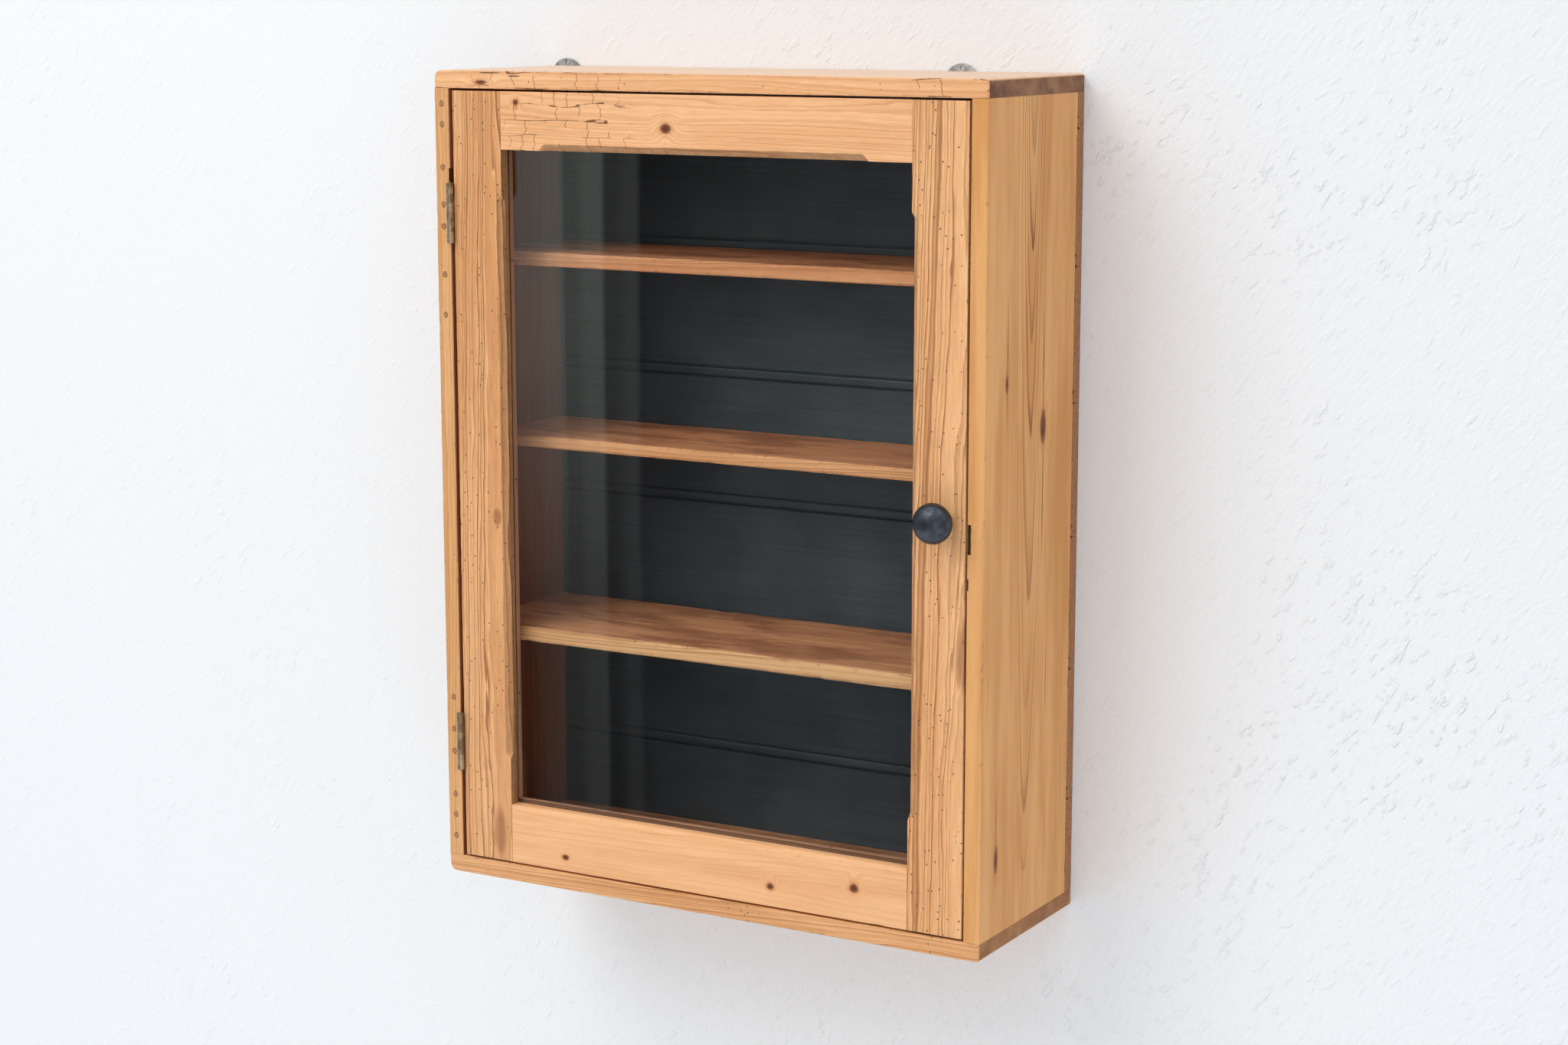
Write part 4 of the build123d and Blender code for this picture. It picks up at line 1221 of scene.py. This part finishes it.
@dataclass
class FrameMember(Board):
    """A stile or rail of the door: a stopped chamfer in front of the glass and a rebate behind it.

    Attributes:
        inner_is_high: whether the glass lies on the side of the higher coordinate.
        sight: where the glass opening starts and stops along the member.
        shown: the part between the joints, without tenons, if it has any.
        chamfer: width of the chamfer on the face.
        chamfer_depth: how deep the chamfer goes, as a share of its width.
        stop: how far from the opening's corner the chamfer starts.
        run: how quickly the chamfer widens from there, in mm per mm.
        lip: thickness of wood in front of the glass.
        rebate: how far the rebate goes in under the glass.
        softness: how far rubbing has rounded the chamfer's edges.
        sag: how far rubbing has lowered the lip.
        chamfer_shade_and_grime: how much painted shade and grime the chamfer gets, from 0 to 1.
        lip_painted_shade: how much painted shade the face between the chamfer and the glass gets, from 0 to
            1.
    """

    inner_is_high: bool = True
    sight: Span = (0.0, 0.0)
    shown: Union[Span, None] = None
    chamfer: float = 5.0
    chamfer_depth: float = 1.0
    stop: float = 38.0
    run: float = 1.0
    lip: float = 10.5
    rebate: float = 7.0
    softness: float = 0.5
    sag: float = 0.0
    chamfer_shade_and_grime: float = 0.3
    lip_painted_shade: float = 0.55
    body: str = "door"
    pitch: float = 3.0
    steps: tuple[int, ...] = (14, 2, 2, 1, 1, 8, 3)

    def ends(self) -> Span:
        """Where the visible part of the member starts and stops along the grain."""
        return self.shown if self.shown else (self.low.z, self.high.z)

    def corners(self, place: float) -> list[Corner]:
        """Work out the section's corners.

        Args:
            place: the place along the board, in mm.

        Returns:
            The corners in order.
        """
        into = min(place - self.sight[0], self.sight[1] - place) - self.stop
        # the chamfer's edge wobbles, fully so from 20 mm past its run-out
        settled = min(1.0, max(0.0, into / 20))
        wobble = settled * 0.4 * wander(self.finish.seed + 9, place, 16.0)
        cut = min(max(0.15, into * self.run), self.chamfer + wobble)
        # painted shade and grime on the chamfer, growing as the chamfer widens to its full width
        dirt_and_shade = self.chamfer_shade_and_grime * min(1.0, cut / self.chamfer)
        drop = self.sag * (1 + 0.06 * wander(self.finish.seed + 5, place, 40.0))
        step = self.rebate if self.sight[0] - self.rebate < place < self.sight[1] + self.rebate else 0.05
        soft = self.softness if cut > 1 else min(self.softness, 0.6)
        drawn = self.inset(place)
        depth_axis, width_axis = (1, 0) if self.finish.along is Along.UPRIGHT else (0, 1)
        front, back = self.low[depth_axis] + drawn, self.high[depth_axis] - drawn
        outer, inner = self.low[width_axis], self.high[width_axis]
        inward = 1.0
        if not self.inner_is_high:
            outer, inner, inward = inner, outer, -1.0
        edge = inner - inward * drop
        lip = front + self.lip
        deep = max(0.15, cut * self.chamfer_depth)
        profile = [
            (outer, front, self.radius(0, place), 0.0),
            (edge - inward * cut, front, max(soft, 0.2), dirt_and_shade),
            (edge, front + deep, max(soft * 0.6, 0.2), self.lip_painted_shade),
            (edge, lip, 0.15, 0.0),
            (inner - inward * step, lip, 0.04, 0.0),
            (inner - inward * step, back, 0.3, 0.0),
            (outer, back, 0.5, 0.0),
        ]
        if self.finish.along is Along.UPRIGHT:
            return [Corner(across, deep_in, radius, dark) for across, deep_in, radius, dark in profile]
        return [Corner(deep_in, across, radius, dark) for across, deep_in, radius, dark in profile]

    def extra_stations(self) -> set[float]:
        """Add sections at the chamfer's run-outs and where the rebate starts and stops.

        Returns:
            Their places along the member, in mm.
        """
        start, stop = self.ends()
        low, high = self.sight[0] + self.stop, self.sight[1] - self.stop
        runs = [0.0, 1.0, 2.0, 3.0, 4.0, 5.0, 6.5]
        places = {low + run for run in runs} | {high - run for run in runs}
        rebates = [self.sight[0] - self.rebate, self.sight[1] + self.rebate]
        places |= {edge + nudge for edge in rebates for nudge in BOTH_SIDES}
        return {place for place in places if start + 1 < place < stop - 1}


@dataclass
class TurnedKnob:
    """A forged knob, shaped about an axis that points out of the door's front.

    Attributes:
        node: the CAD node it stands for.
        finish: what its surface is.
        foot: distance out and radius at each point of the foot and neck, in mm.
        head_out: how far out the middle of the head is, in mm.
        head_half: half of the head's thickness, in mm.
        head_radius: the head's radius, in mm.
        head_start: how far out the head takes over from the neck, in mm.
        fullness: how full the head's profile is: 1 is an ellipse, and less is fuller.
        out_of_round: how far from round the smith's hammer left it, as a share of its radius.
        sides: how many flat strips go round it.
        head_steps: how many strips follow each other from the head's back to its tip.
    """

    node: str
    finish: Finish
    foot: tuple[tuple[float, float], ...] = (
        (0.05, 7.6),
        (0.6, 7.8),
        (1.6, 7.4),
        (2.4, 6.6),
        (4.0, 6.1),
        (6.5, 6.3),
        (8.0, 7.6),
    )
    head_out: float = 19.5
    head_half: float = 12.5
    head_radius: float = 16.45
    head_start: float = 8.6
    fullness: float = 0.94
    out_of_round: float = 0.008
    sides: int = 72
    head_steps: int = 30

    def build(self) -> bpy.types.Object:
        """Turn the profile into a closed mesh.

        Returns:
            The knob.
        """
        low, high = (Vector(corner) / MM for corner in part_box(self.node))
        middle = (low + high) / 2
        head = []
        for step in range(1, self.head_steps):
            turn = math.pi * step / self.head_steps
            out = self.head_out - self.head_half * math.cos(turn)
            if out > self.head_start:
                head.append((out, self.head_radius * math.sin(turn) ** self.fullness))
        tip = (self.head_out + self.head_half - 0.01, 0.5)
        shape = Shape()
        for out, radius in [*self.foot, *head, tip]:
            for side in range(self.sides):
                angle = 2 * math.pi * side / self.sides
                lump = Vector((math.cos(angle) * 1.5, math.sin(angle) * 1.5, out / 6))
                true = radius * (1 - self.out_of_round * abs(noise.noise(lump)))
                x = middle.x + true * math.cos(angle)
                z = middle.z + true * math.sin(angle)
                shape.points.append((x, high.y - out, z))
        shape.skin(self.sides)
        return shape.piece("forged_knob", self.finish, "door", [self.node], "black_iron")


@dataclass
class FillerPlugs:
    """Spots of filler over old screw holes, rubbed down to uneven ovals.

    Attributes:
        node: the CAD node they stand for.
        finish: what their surface is.
        heights: how high each one sits, in mm.
        middle: how far all of them are from the case's middle, in mm.
        front: where the wood's front face is, in mm.
        radius: the radius of the widest, in mm.
        depth: how deep they go into the wood, in mm.
        proud: how far they stand out of it, in mm.
        sides: how many flat strips go round each.
    """

    node: str
    finish: Finish
    heights: tuple[float, ...]
    middle: float
    front: float
    radius: float = 2.9
    depth: float = 2.0
    proud: float = 0.12
    sides: int = 20

    def build(self) -> bpy.types.Object:
        """Make every plug as one mesh of closed ovals.

        Returns:
            The plugs.
        """
        shape = Shape()
        dice = random.Random(7)
        for height in self.heights:
            first = len(shape.points)
            squash = dice.uniform(0.78, 0.95)
            # from the hole's bottom to the middle of the rubbed face: depth, share of the radius, rim
            rubbed = ((-self.proud, 0.86, 1.0), (-self.proud, 0.6, 0.0))
            for out, share, rim in ((self.depth, 1.0, 1.0), (0.05, 1.0, 1.0), *rubbed):
                for side in range(self.sides):
                    angle = 2 * math.pi * side / self.sides
                    reach = self.radius * share * (1 - 0.05 * math.sin(3 * angle + height))
                    x = self.middle + reach * squash * math.cos(angle)
                    shape.points.append((x, self.front + out, height + reach * 0.97 * math.sin(angle)))
                    shape.worn.append(rim)
            shape.skin(self.sides, first)
        return shape.piece("filler_plugs", self.finish, "casing", [self.node], "filler")


def dress(names: Sequence[str], finish: Finish) -> None:
    """Give every material slot of some CAD nodes one finish.

    Args:
        names: the CAD nodes.
        finish: what their surface is.
    """
    for name in names:
        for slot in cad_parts[name].material_slots:
            slot.link = "OBJECT"
            slot.material = finish.material()
        LOG.info("%s: %s", name, finish.name)


# ------------------------------------------------------------------ sub-assemblies
PALE = {"early": "#F0BA88", "warm": "#E6AB78", "late": "#BC7A46"}
MID = {"early": "#E4AB76", "warm": "#D69964", "late": "#8C5428"}
TAN = {"early": "#DEA872", "warm": "#D09860", "late": "#A86C3A"}
SHELF = {"early": "#FCBC8C", "warm": "#F2AA78", "late": "#A8663C", "aged": "#DA9270", "stain": "#8A4C36"}


@dataclass
class Casing:
    """The nailed box: top, bottom, sides, floor, shelves, painted back and its hangers.

    Attributes:
        plug_heights: where old screw holes were filled in the left side's front edge, in mm.
        plug_middle: how far from the case's middle those holes are, in mm.
        hinge_notch: from, to and width of the empty hinge notch in the left side, in mm.
        lock_notches: the same for the lock notches in the right side.
    """

    plug_heights: tuple[float, ...] = (
        672, 654.5, 618.5, 587, 568.5, 527.5, 493,
        157.5, 129, 109, 70, 51.5, 32.5,
    )
    plug_middle: float = -252.75
    hinge_notch: Point = (605.9, 617.9, 1.2)
    lock_notches: tuple[Point, ...] = ((331.0, 355.0, 3.0), (302.3, 311.8, 1.2))

    def ends(self) -> list[Board]:
        """Choose the wood of the top and bottom boards.

        Returns:
            Both boards.
        """
        top = OldPine(
            "pine_top_board",
            Along.LEVEL,
            seed=1.3,
            pith=(-30.0, 640.0),
            lean=(0.01, 0.02),
            ring=2.6,
            contrast=0.4,
            worm=0.45,
            end="#5A2A10",
            knots=(in_front(-212, 690.5, 6, 1.8),),
            crazed=(in_front(-150, 700, 90, 40), in_front(225, 700, 40, 30)),
            aged="#DABFA8",
            aged_least=0.7,
            **PALE,
        )
        bottom = OldPine(
            "pine_bottom_board",
            Along.LEVEL,
            seed=2.1,
            pith=(-40.0, -70.0),
            lean=(0.0, 0.03),
            ring=3.2,
            contrast=0.5,
            worm=0.35,
            end="#8E5A2E",
            **MID,
        )
        return [
            CaseEnd("top_board", top, "casing_pine", wear=0.9, outer_is_top=True),
            CaseEnd("bottom_board", bottom, "casing_pine", wear=0.9, outer_is_top=False),
        ]

    def sides(self) -> list[Board]:
        """Choose the wood of the left side, browned inside, and of the right side with its arched grain.

        Returns:
            Both sides.
        """
        left = OldPine(
            "pine_left_side",
            Along.UPRIGHT,
            seed=3.4,
            pith=(-300.0, -40.0),
            ring=3.0,
            contrast=0.4,
            worm=0.2,
            aged="#8A4B32",
            aged_way=(1.0, 0.0, 0.0),
            aged_least=0.85,
            **TAN,
        )
        right = OldPine(
            "pine_right_side",
            Along.UPRIGHT,
            seed=4.2,
            pith=(224.0, -8.0),
            lean=(0.036, 0.004),
            ring=3.4,
            contrast=1.0,
            late_from=0.5,
            outer_share=0.15,
            steady=0.4,
            heart="#C08C54",
            fibrous=0.5,
            ridge_highlight=0.0,
            waver=4.0,
            ripple=0.5,
            early="#E2A96C",
            warm="#D29456",
            late="#8A4E22",
            aged="#7A4526",
            aged_way=(-1.0, 0.0, 0.0),
            knots=(
                in_right_side(-50, 462, 2.8, 8),
                in_right_side(18, 420, 5.4, 14),
                in_right_side(-60, 78, 3.6, 12),
            ),
            streaks=(
                in_right_side(-49, 480, 1.3, 75),
                in_right_side(18, 470, 1.6, 60),
                in_right_side(19, 360, 1.6, 70),
                in_right_side(-60, 110, 1.2, 40),
                in_right_side(30, 210, 1.0, 45),
            ),
        )
        return [
            CaseSide("left_side", left, "casing_pine", wear=0.8, notches=(self.hinge_notch,)),
            CaseSide(
                "right_side", right, "casing_pine", wear=0.8, inner_is_high=False, notches=self.lock_notches
            ),
        ]

    def shelves(self) -> list[Board]:
        """Choose the wood of the floor and the three shelves: dark on top and rubbed pale along the front.

        Returns:
            The four boards.
        """
        made: list[Board] = []
        rounding = {"floor_board": 0.7, "upper_shelf": 2.0, "middle_shelf": 2.0, "lower_shelf": 2.4}
        own_tones = {
            "floor_board": {"aged": "#CC9074", "stain": "#A0664C"},
            "upper_shelf": {"early": "#F8A87C", "warm": "#EC986A"},
            "middle_shelf": {"early": "#FAB080", "warm": "#F0A06E"},
        }
        for index, (name, wear) in enumerate(rounding.items()):
            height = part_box(name)[0][2] / MM
            pine = OldPine(
                "pine_" + name,
                Along.LEVEL,
                seed=5.5 + 1.3 * index,
                pith=(-60.0 + 15 * index, height - 45.0),
                lean=(0.0, 0.02),
                aged_least=0.2,
                **(SHELF | own_tones.get(name, {})),
            )
            made.append(Board(name, pine, "shelf_pine", wear=wear))
        return made

    def build(self) -> None:
        """Build the boards and dress what the CAD model shapes well enough."""
        for board in (*self.ends(), *self.sides(), *self.shelves()):
            board.build()
        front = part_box("left_side")[0][1] / MM
        FillerPlugs("side_plugs", RubbedFiller(), self.plug_heights, self.plug_middle, front).build()
        nodes = list(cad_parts)
        dress([name for name in nodes if name.startswith("back_board")], BrushedPaint())
        plates = [name for name in nodes if name.endswith("_plate")]
        dress(plates, Metal("zinc_plated_steel", "#CCCED0", "#9A9C9E", roughness=0.3, grain=5.0))
        screws = [name for name in nodes if name.endswith(("_screws", "_screw"))]
        dress(screws, Metal("dull_steel_screws", "#8E8A84", "#655E54", roughness=0.4))
        rusty = [name for name in nodes if name.endswith(("_nails", "_pins"))]
        dress(rusty, Metal("rusted_iron_nails", "#5A4638", "#3A261C", roughness=0.7, metallic=0.4))
        dress(["catch_body"], Metal("brown_moulded_plastic", "#4A3426", "#402C20", 0.5, metallic=0.0))
        dress(["catch_magnet"], Metal("sintered_magnet", "#3A3A3C", "#2C2C2E", 0.5))


@dataclass
class Door:
    """The framed glass door with its knob and hinges.

    Attributes:
        under_frame: how far the glass goes in under the frame, in mm.
    """

    under_frame: float = 6.5

    def sight(self, axis: int) -> Span:
        """Work out where the glass shows between the frame members.

        Args:
            axis: 0 for across and 2 for upright.

        Returns:
            Where it starts and stops, in mm.
        """
        low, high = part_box("glass_pane")
        return low[axis] / MM + self.under_frame, high[axis] / MM - self.under_frame

    def stiles(self) -> list[Board]:
        """Choose the wood of the two stiles, which are scrubbed down to their late wood.

        Returns:
            Both stiles.
        """
        scrubbed = {
            "ring": 2.7,
            "contrast": 0.8,
            "ridge_highlight": 0.25,
            "ridge": 0.4,
            "fibrous": 1.5,
            "ripple": 2.0,
            "waver": 7.0,
            "worm": 0.9,
            "roughness": 0.48,
        }
        left = OldPine(
            "pine_left_stile",
            Along.UPRIGHT,
            seed=11.3,
            pith=(-204.0, -62.0),
            lean=(0.02, -0.01),
            smudges=(in_front(-204, 40, 7, 30), in_front(-203, 322, 5, 8)),
            **scrubbed,
            **MID,
        )
        right = OldPine(
            "pine_right_stile",
            Along.UPRIGHT,
            seed=12.7,
            pith=(240.0, -64.0),
            lean=(0.015, 0.012),
            smudges=(in_front(245, 249, 9, 33),),
            **(scrubbed | {"contrast": 0.75}),
            **(MID | {"early": "#EAB27C", "warm": "#DEA06A"}),
        )
        upright = self.sight(2)
        return [
            FrameMember("door_left_stile", left, "door_pine", sight=upright),
            FrameMember("door_right_stile", right, "door_pine", sight=upright, inner_is_high=False),
        ]

    def rails(self) -> list[Board]:
        """Choose the wood of the two rails, which are planed smooth.

        Returns:
            Both rails.
        """
        planed = {"ring": 2.8, "contrast": 0.5, "ridge_highlight": 0.1, "ridge": 0.03, "waver": 9.0, "nicks": 0.1}
        top = OldPine(
            "pine_top_rail",
            Along.LEVEL,
            seed=13.9,
            pith=(-62.0, 690.0),
            lean=(0.0, -0.02),
            knots=(in_front(-30, 656, 4.5, 4.5), in_front(-177, 674, 2.5, 2.5)),
            crazed=(in_front(-125, 655, 75, 40), in_front(-90, 634, 110, 9)),
            **planed,
            **PALE,
        )
        bottom = OldPine(
            "pine_bottom_rail",
            Along.LEVEL,
            seed=14.5,
            pith=(-20.0, -20.0),
            lean=(0.0, 0.01),
            knots=(in_front(-137, 29, 3.0, 2.4), in_front(67, 34, 3.4, 3.0), in_front(146, 45, 3.8, 4.0)),
            **(planed | {"contrast": 0.2, "fibrous": 0.6}),
            **PALE,
        )
        across = self.sight(0)
        rail = {"slot": "rail_pine", "sight": across, "shown": across}
        return [
            FrameMember(
                "door_top_rail",
                top,
                **rail,
                inner_is_high=False,
                chamfer=5.5,
                chamfer_depth=1.2,
                chamfer_shade_and_grime=0.45,
                lip_painted_shade=0.45,
            ),
            FrameMember(
                "door_bottom_rail",
                bottom,
                **rail,
                chamfer=3.0,
                chamfer_depth=0.8,
                run=0.3,
                stop=0.0,
                softness=2.6,
                sag=3.0,
                chamfer_shade_and_grime=0.0,
                lip_painted_shade=0.0,
            ),
        ]

    def build(self) -> None:
        """Build the frame members and the knob, and dress the glass, beads and hinges."""
        for member in (*self.stiles(), *self.rails()):
            member.build()
        browned = {"early": "#DCA084", "warm": "#CC9076", "late": "#9C684E", "ring": 2.6, "contrast": 0.3}
        upright = OldPine("pine_upright_beads", Along.UPRIGHT, seed=15.2, pith=(0.0, -160.0), **browned)
        dress(["left_glazing_bead", "right_glazing_bead"], upright)
        level = OldPine("pine_level_beads", Along.LEVEL, seed=16.1, pith=(-160.0, 350.0), **browned)
        dress(["top_glazing_bead", "bottom_glazing_bead"], level)
        dress(["glass_pane"], SheetGlass())
        hinge = ("case_leaf", "door_leaf", "pin")
        parts = [f"{place}_hinge_{part}" for place in ("upper", "lower") for part in hinge]
        dress(parts, Metal("tarnished_brass", "#BEA888", "#88745C", roughness=0.36, grain=8.0))
        black = Metal("black_waxed_iron", "#4B5059", "#40454D", 0.28, grain=4.0, relief=0.08, dent=4.0)
        TurnedKnob("knob", black).build()


@dataclass(frozen=True)
class Lamp:
    """A soft square lamp.

    Attributes:
        name: the lamp's name.
        place: where it is, in metres.
        target: what it points at, in metres.
        size: the width of its face, in metres.
        power: its power in watts.
        colour: its sRGB hex colour.
    """

    name: str
    place: Point
    target: Point
    size: float
    power: float
    colour: str

    def build(self) -> None:
        """Hang the lamp and point it."""
        data = bpy.data.lights.new(self.name, "AREA")
        data.size = self.size
        data.energy = self.power
        data.color = linear(self.colour)[:3]
        lamp = bpy.data.objects.new(self.name, data)
        lamp.location = self.place
        lamp.rotation_mode = "QUATERNION"
        lamp.rotation_quaternion = (Vector(self.target) - Vector(self.place)).to_track_quat("-Z", "Y")
        bpy.context.scene.collection.objects.link(lamp)


@dataclass
class Studio:
    """The pale wall and floor, the light, what the glass mirrors, and the camera.

    Attributes:
        wall_gap: how far the wall stands behind the case, in mm.
        window_edge: how far inside the case's outline the window in the wall stays, in mm.
        reach: how far wall and floor go to either side, in metres.
        front: where the floor's front edge is, in metres.
        floor_drop: how far the floor lies below the case, in metres.
        height: how far the wall goes up, in metres.
        mirror_place: how far in front of the case the dim room stands, in metres.
        mirror_sides: where the dim room starts and stops across, in metres.
        mirror_heights: the same upward.
        sky: the colour of the overcast sky.
        lamps: the daylight from a window and what the room throws back.
        lens: the camera's focal length in mm, for a sensor 36 mm wide.
        camera_place: where the camera is, in metres.
        camera_turn: how it is turned about each axis, in degrees.
    """

    wall_gap: float = 0.2
    window_edge: float = 2.0
    reach: float = 4.0
    front: float = -5.0
    floor_drop: float = 1.15
    height: float = 3.0
    mirror_place: float = -2.0
    mirror_sides: Span = (-1.6, -0.6)
    mirror_heights: Span = (-0.75, 0.65)
    sky: str = "#F6F7FA"
    lamps: tuple[Lamp, ...] = (
        Lamp("window_light", (-1.1, -2.3, 2.4), (0.0, 0.0, 0.35), 1.8, 35.0, "#FFF9F2"),
        Lamp("bounce_light", (1.6, -3.0, 0.5), (0.1, 0.0, 0.35), 2.4, 7.3, "#FAFAFF"),
    )
    lens: float = 68.23
    camera_place: Point = (1.2568, -2.1417, 0.7668)
    camera_turn: Point = (79.828, 0.018, 29.802)

    def sheet(self, name: str, corners: Sequence[Point], finish: Finish) -> bpy.types.Object:
        """Make one stage sheet.

        Args:
            name: the sheet's name.
            corners: its four corners in metres, and four more if a window is cut in it.
            finish: what its surface is.

        Returns:
            The sheet.
        """
        around = [(0, 1, 2, 3)]
        if len(corners) == 8:
            around = [(side, (side + 1) % 4, 4 + (side + 1) % 4, 4 + side) for side in range(4)]
        mesh = bpy.data.meshes.new(name)
        mesh.from_pydata(list(corners), [], around)
        mesh.materials.append(finish.material())
        made = bpy.data.objects.new(name, mesh)
        bpy.context.scene.collection.objects.link(made)
        made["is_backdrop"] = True
        return made

    def raise_sheets(self) -> None:
        """Set up the wall, the floor and the dim room that the glass mirrors."""
        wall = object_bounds()[1][1] + self.wall_gap * MM
        floor = -self.floor_drop
        # the case hides a window in the wall, which lets light reach the back boards
        inside = self.window_edge * MM
        low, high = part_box("bottom_board")[0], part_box("top_board")[1]
        sides, heights = (-self.reach, self.reach), (floor, self.height)
        corners = upright_corners(wall, sides, heights)
        window = ((low[0] + inside, high[0] - inside), (low[2] + inside, high[2] - inside))
        corners += upright_corners(wall, *window)
        self.sheet("wall", corners, Plaster("limewashed_plaster"))
        edges = ((self.front, sides), (wall, sides[::-1]))
        corners = [(x, y, floor) for y, both in edges for x in both]
        self.sheet("floor", corners, Plaster("pale_floor", relief=0.1))
        corners = upright_corners(self.mirror_place, self.mirror_sides, self.mirror_heights)
        room = self.sheet("dim_room", corners, DimRoom())
        room.visible_camera = room.visible_diffuse = room.visible_shadow = False

    def light(self) -> None:
        """Hang the lamps under an overcast sky, brighter overhead than low down, brightest right above."""
        world = bpy.data.worlds.new("soft_daylight")
        bpy.context.scene.world = world
        world.use_nodes = True
        add = Nodes(world.node_tree)
        upward = add("SeparateXYZ", {0: add("TexCoord", {}, out="Generated")}).node.outputs[2]
        sky = add("MapRange", {0: upward, 1: -0.1, 2: 0.9, 3: 0.47, 4: 1.1})
        zenith = add("MapRange", {0: upward, 1: 0.72, 2: 0.92, 3: 0.0, 4: 0.8}, **SMOOTH)
        sky = add("Math", {0: sky, 1: zenith})
        add.finish("OutputWorld", add("Background", {"Color": linear(self.sky), "Strength": sky}))
        for lamp in self.lamps:
            lamp.build()

    def set_camera(self) -> None:
        """Place the camera, and show colours as they are written."""
        data = bpy.data.cameras.new("camera")
        data.sensor_width = 36.0
        data.lens = self.lens
        camera = bpy.data.objects.new("camera", data)
        camera.location = self.camera_place
        camera.rotation_euler = tuple(math.radians(turn) for turn in self.camera_turn)
        bpy.context.scene.collection.objects.link(camera)
        bpy.context.scene.camera = camera
        bpy.context.scene.view_settings.view_transform = "Standard"

    def build(self) -> None:
        """Set the stage, the light and the camera."""
        self.raise_sheets()
        self.light()
        self.set_camera()
        LOG.info("studio: wall, floor, dim room, %d lamps and camera", len(self.lamps))


def main() -> None:
    """Build the studio, the casing and the door."""
    logging.basicConfig(level=logging.INFO, format="%(name)s: %(message)s", stream=sys.stdout)
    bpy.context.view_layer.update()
    Studio().build()
    Casing().build()
    Door().build()


if __name__ == "__main__":
    main()
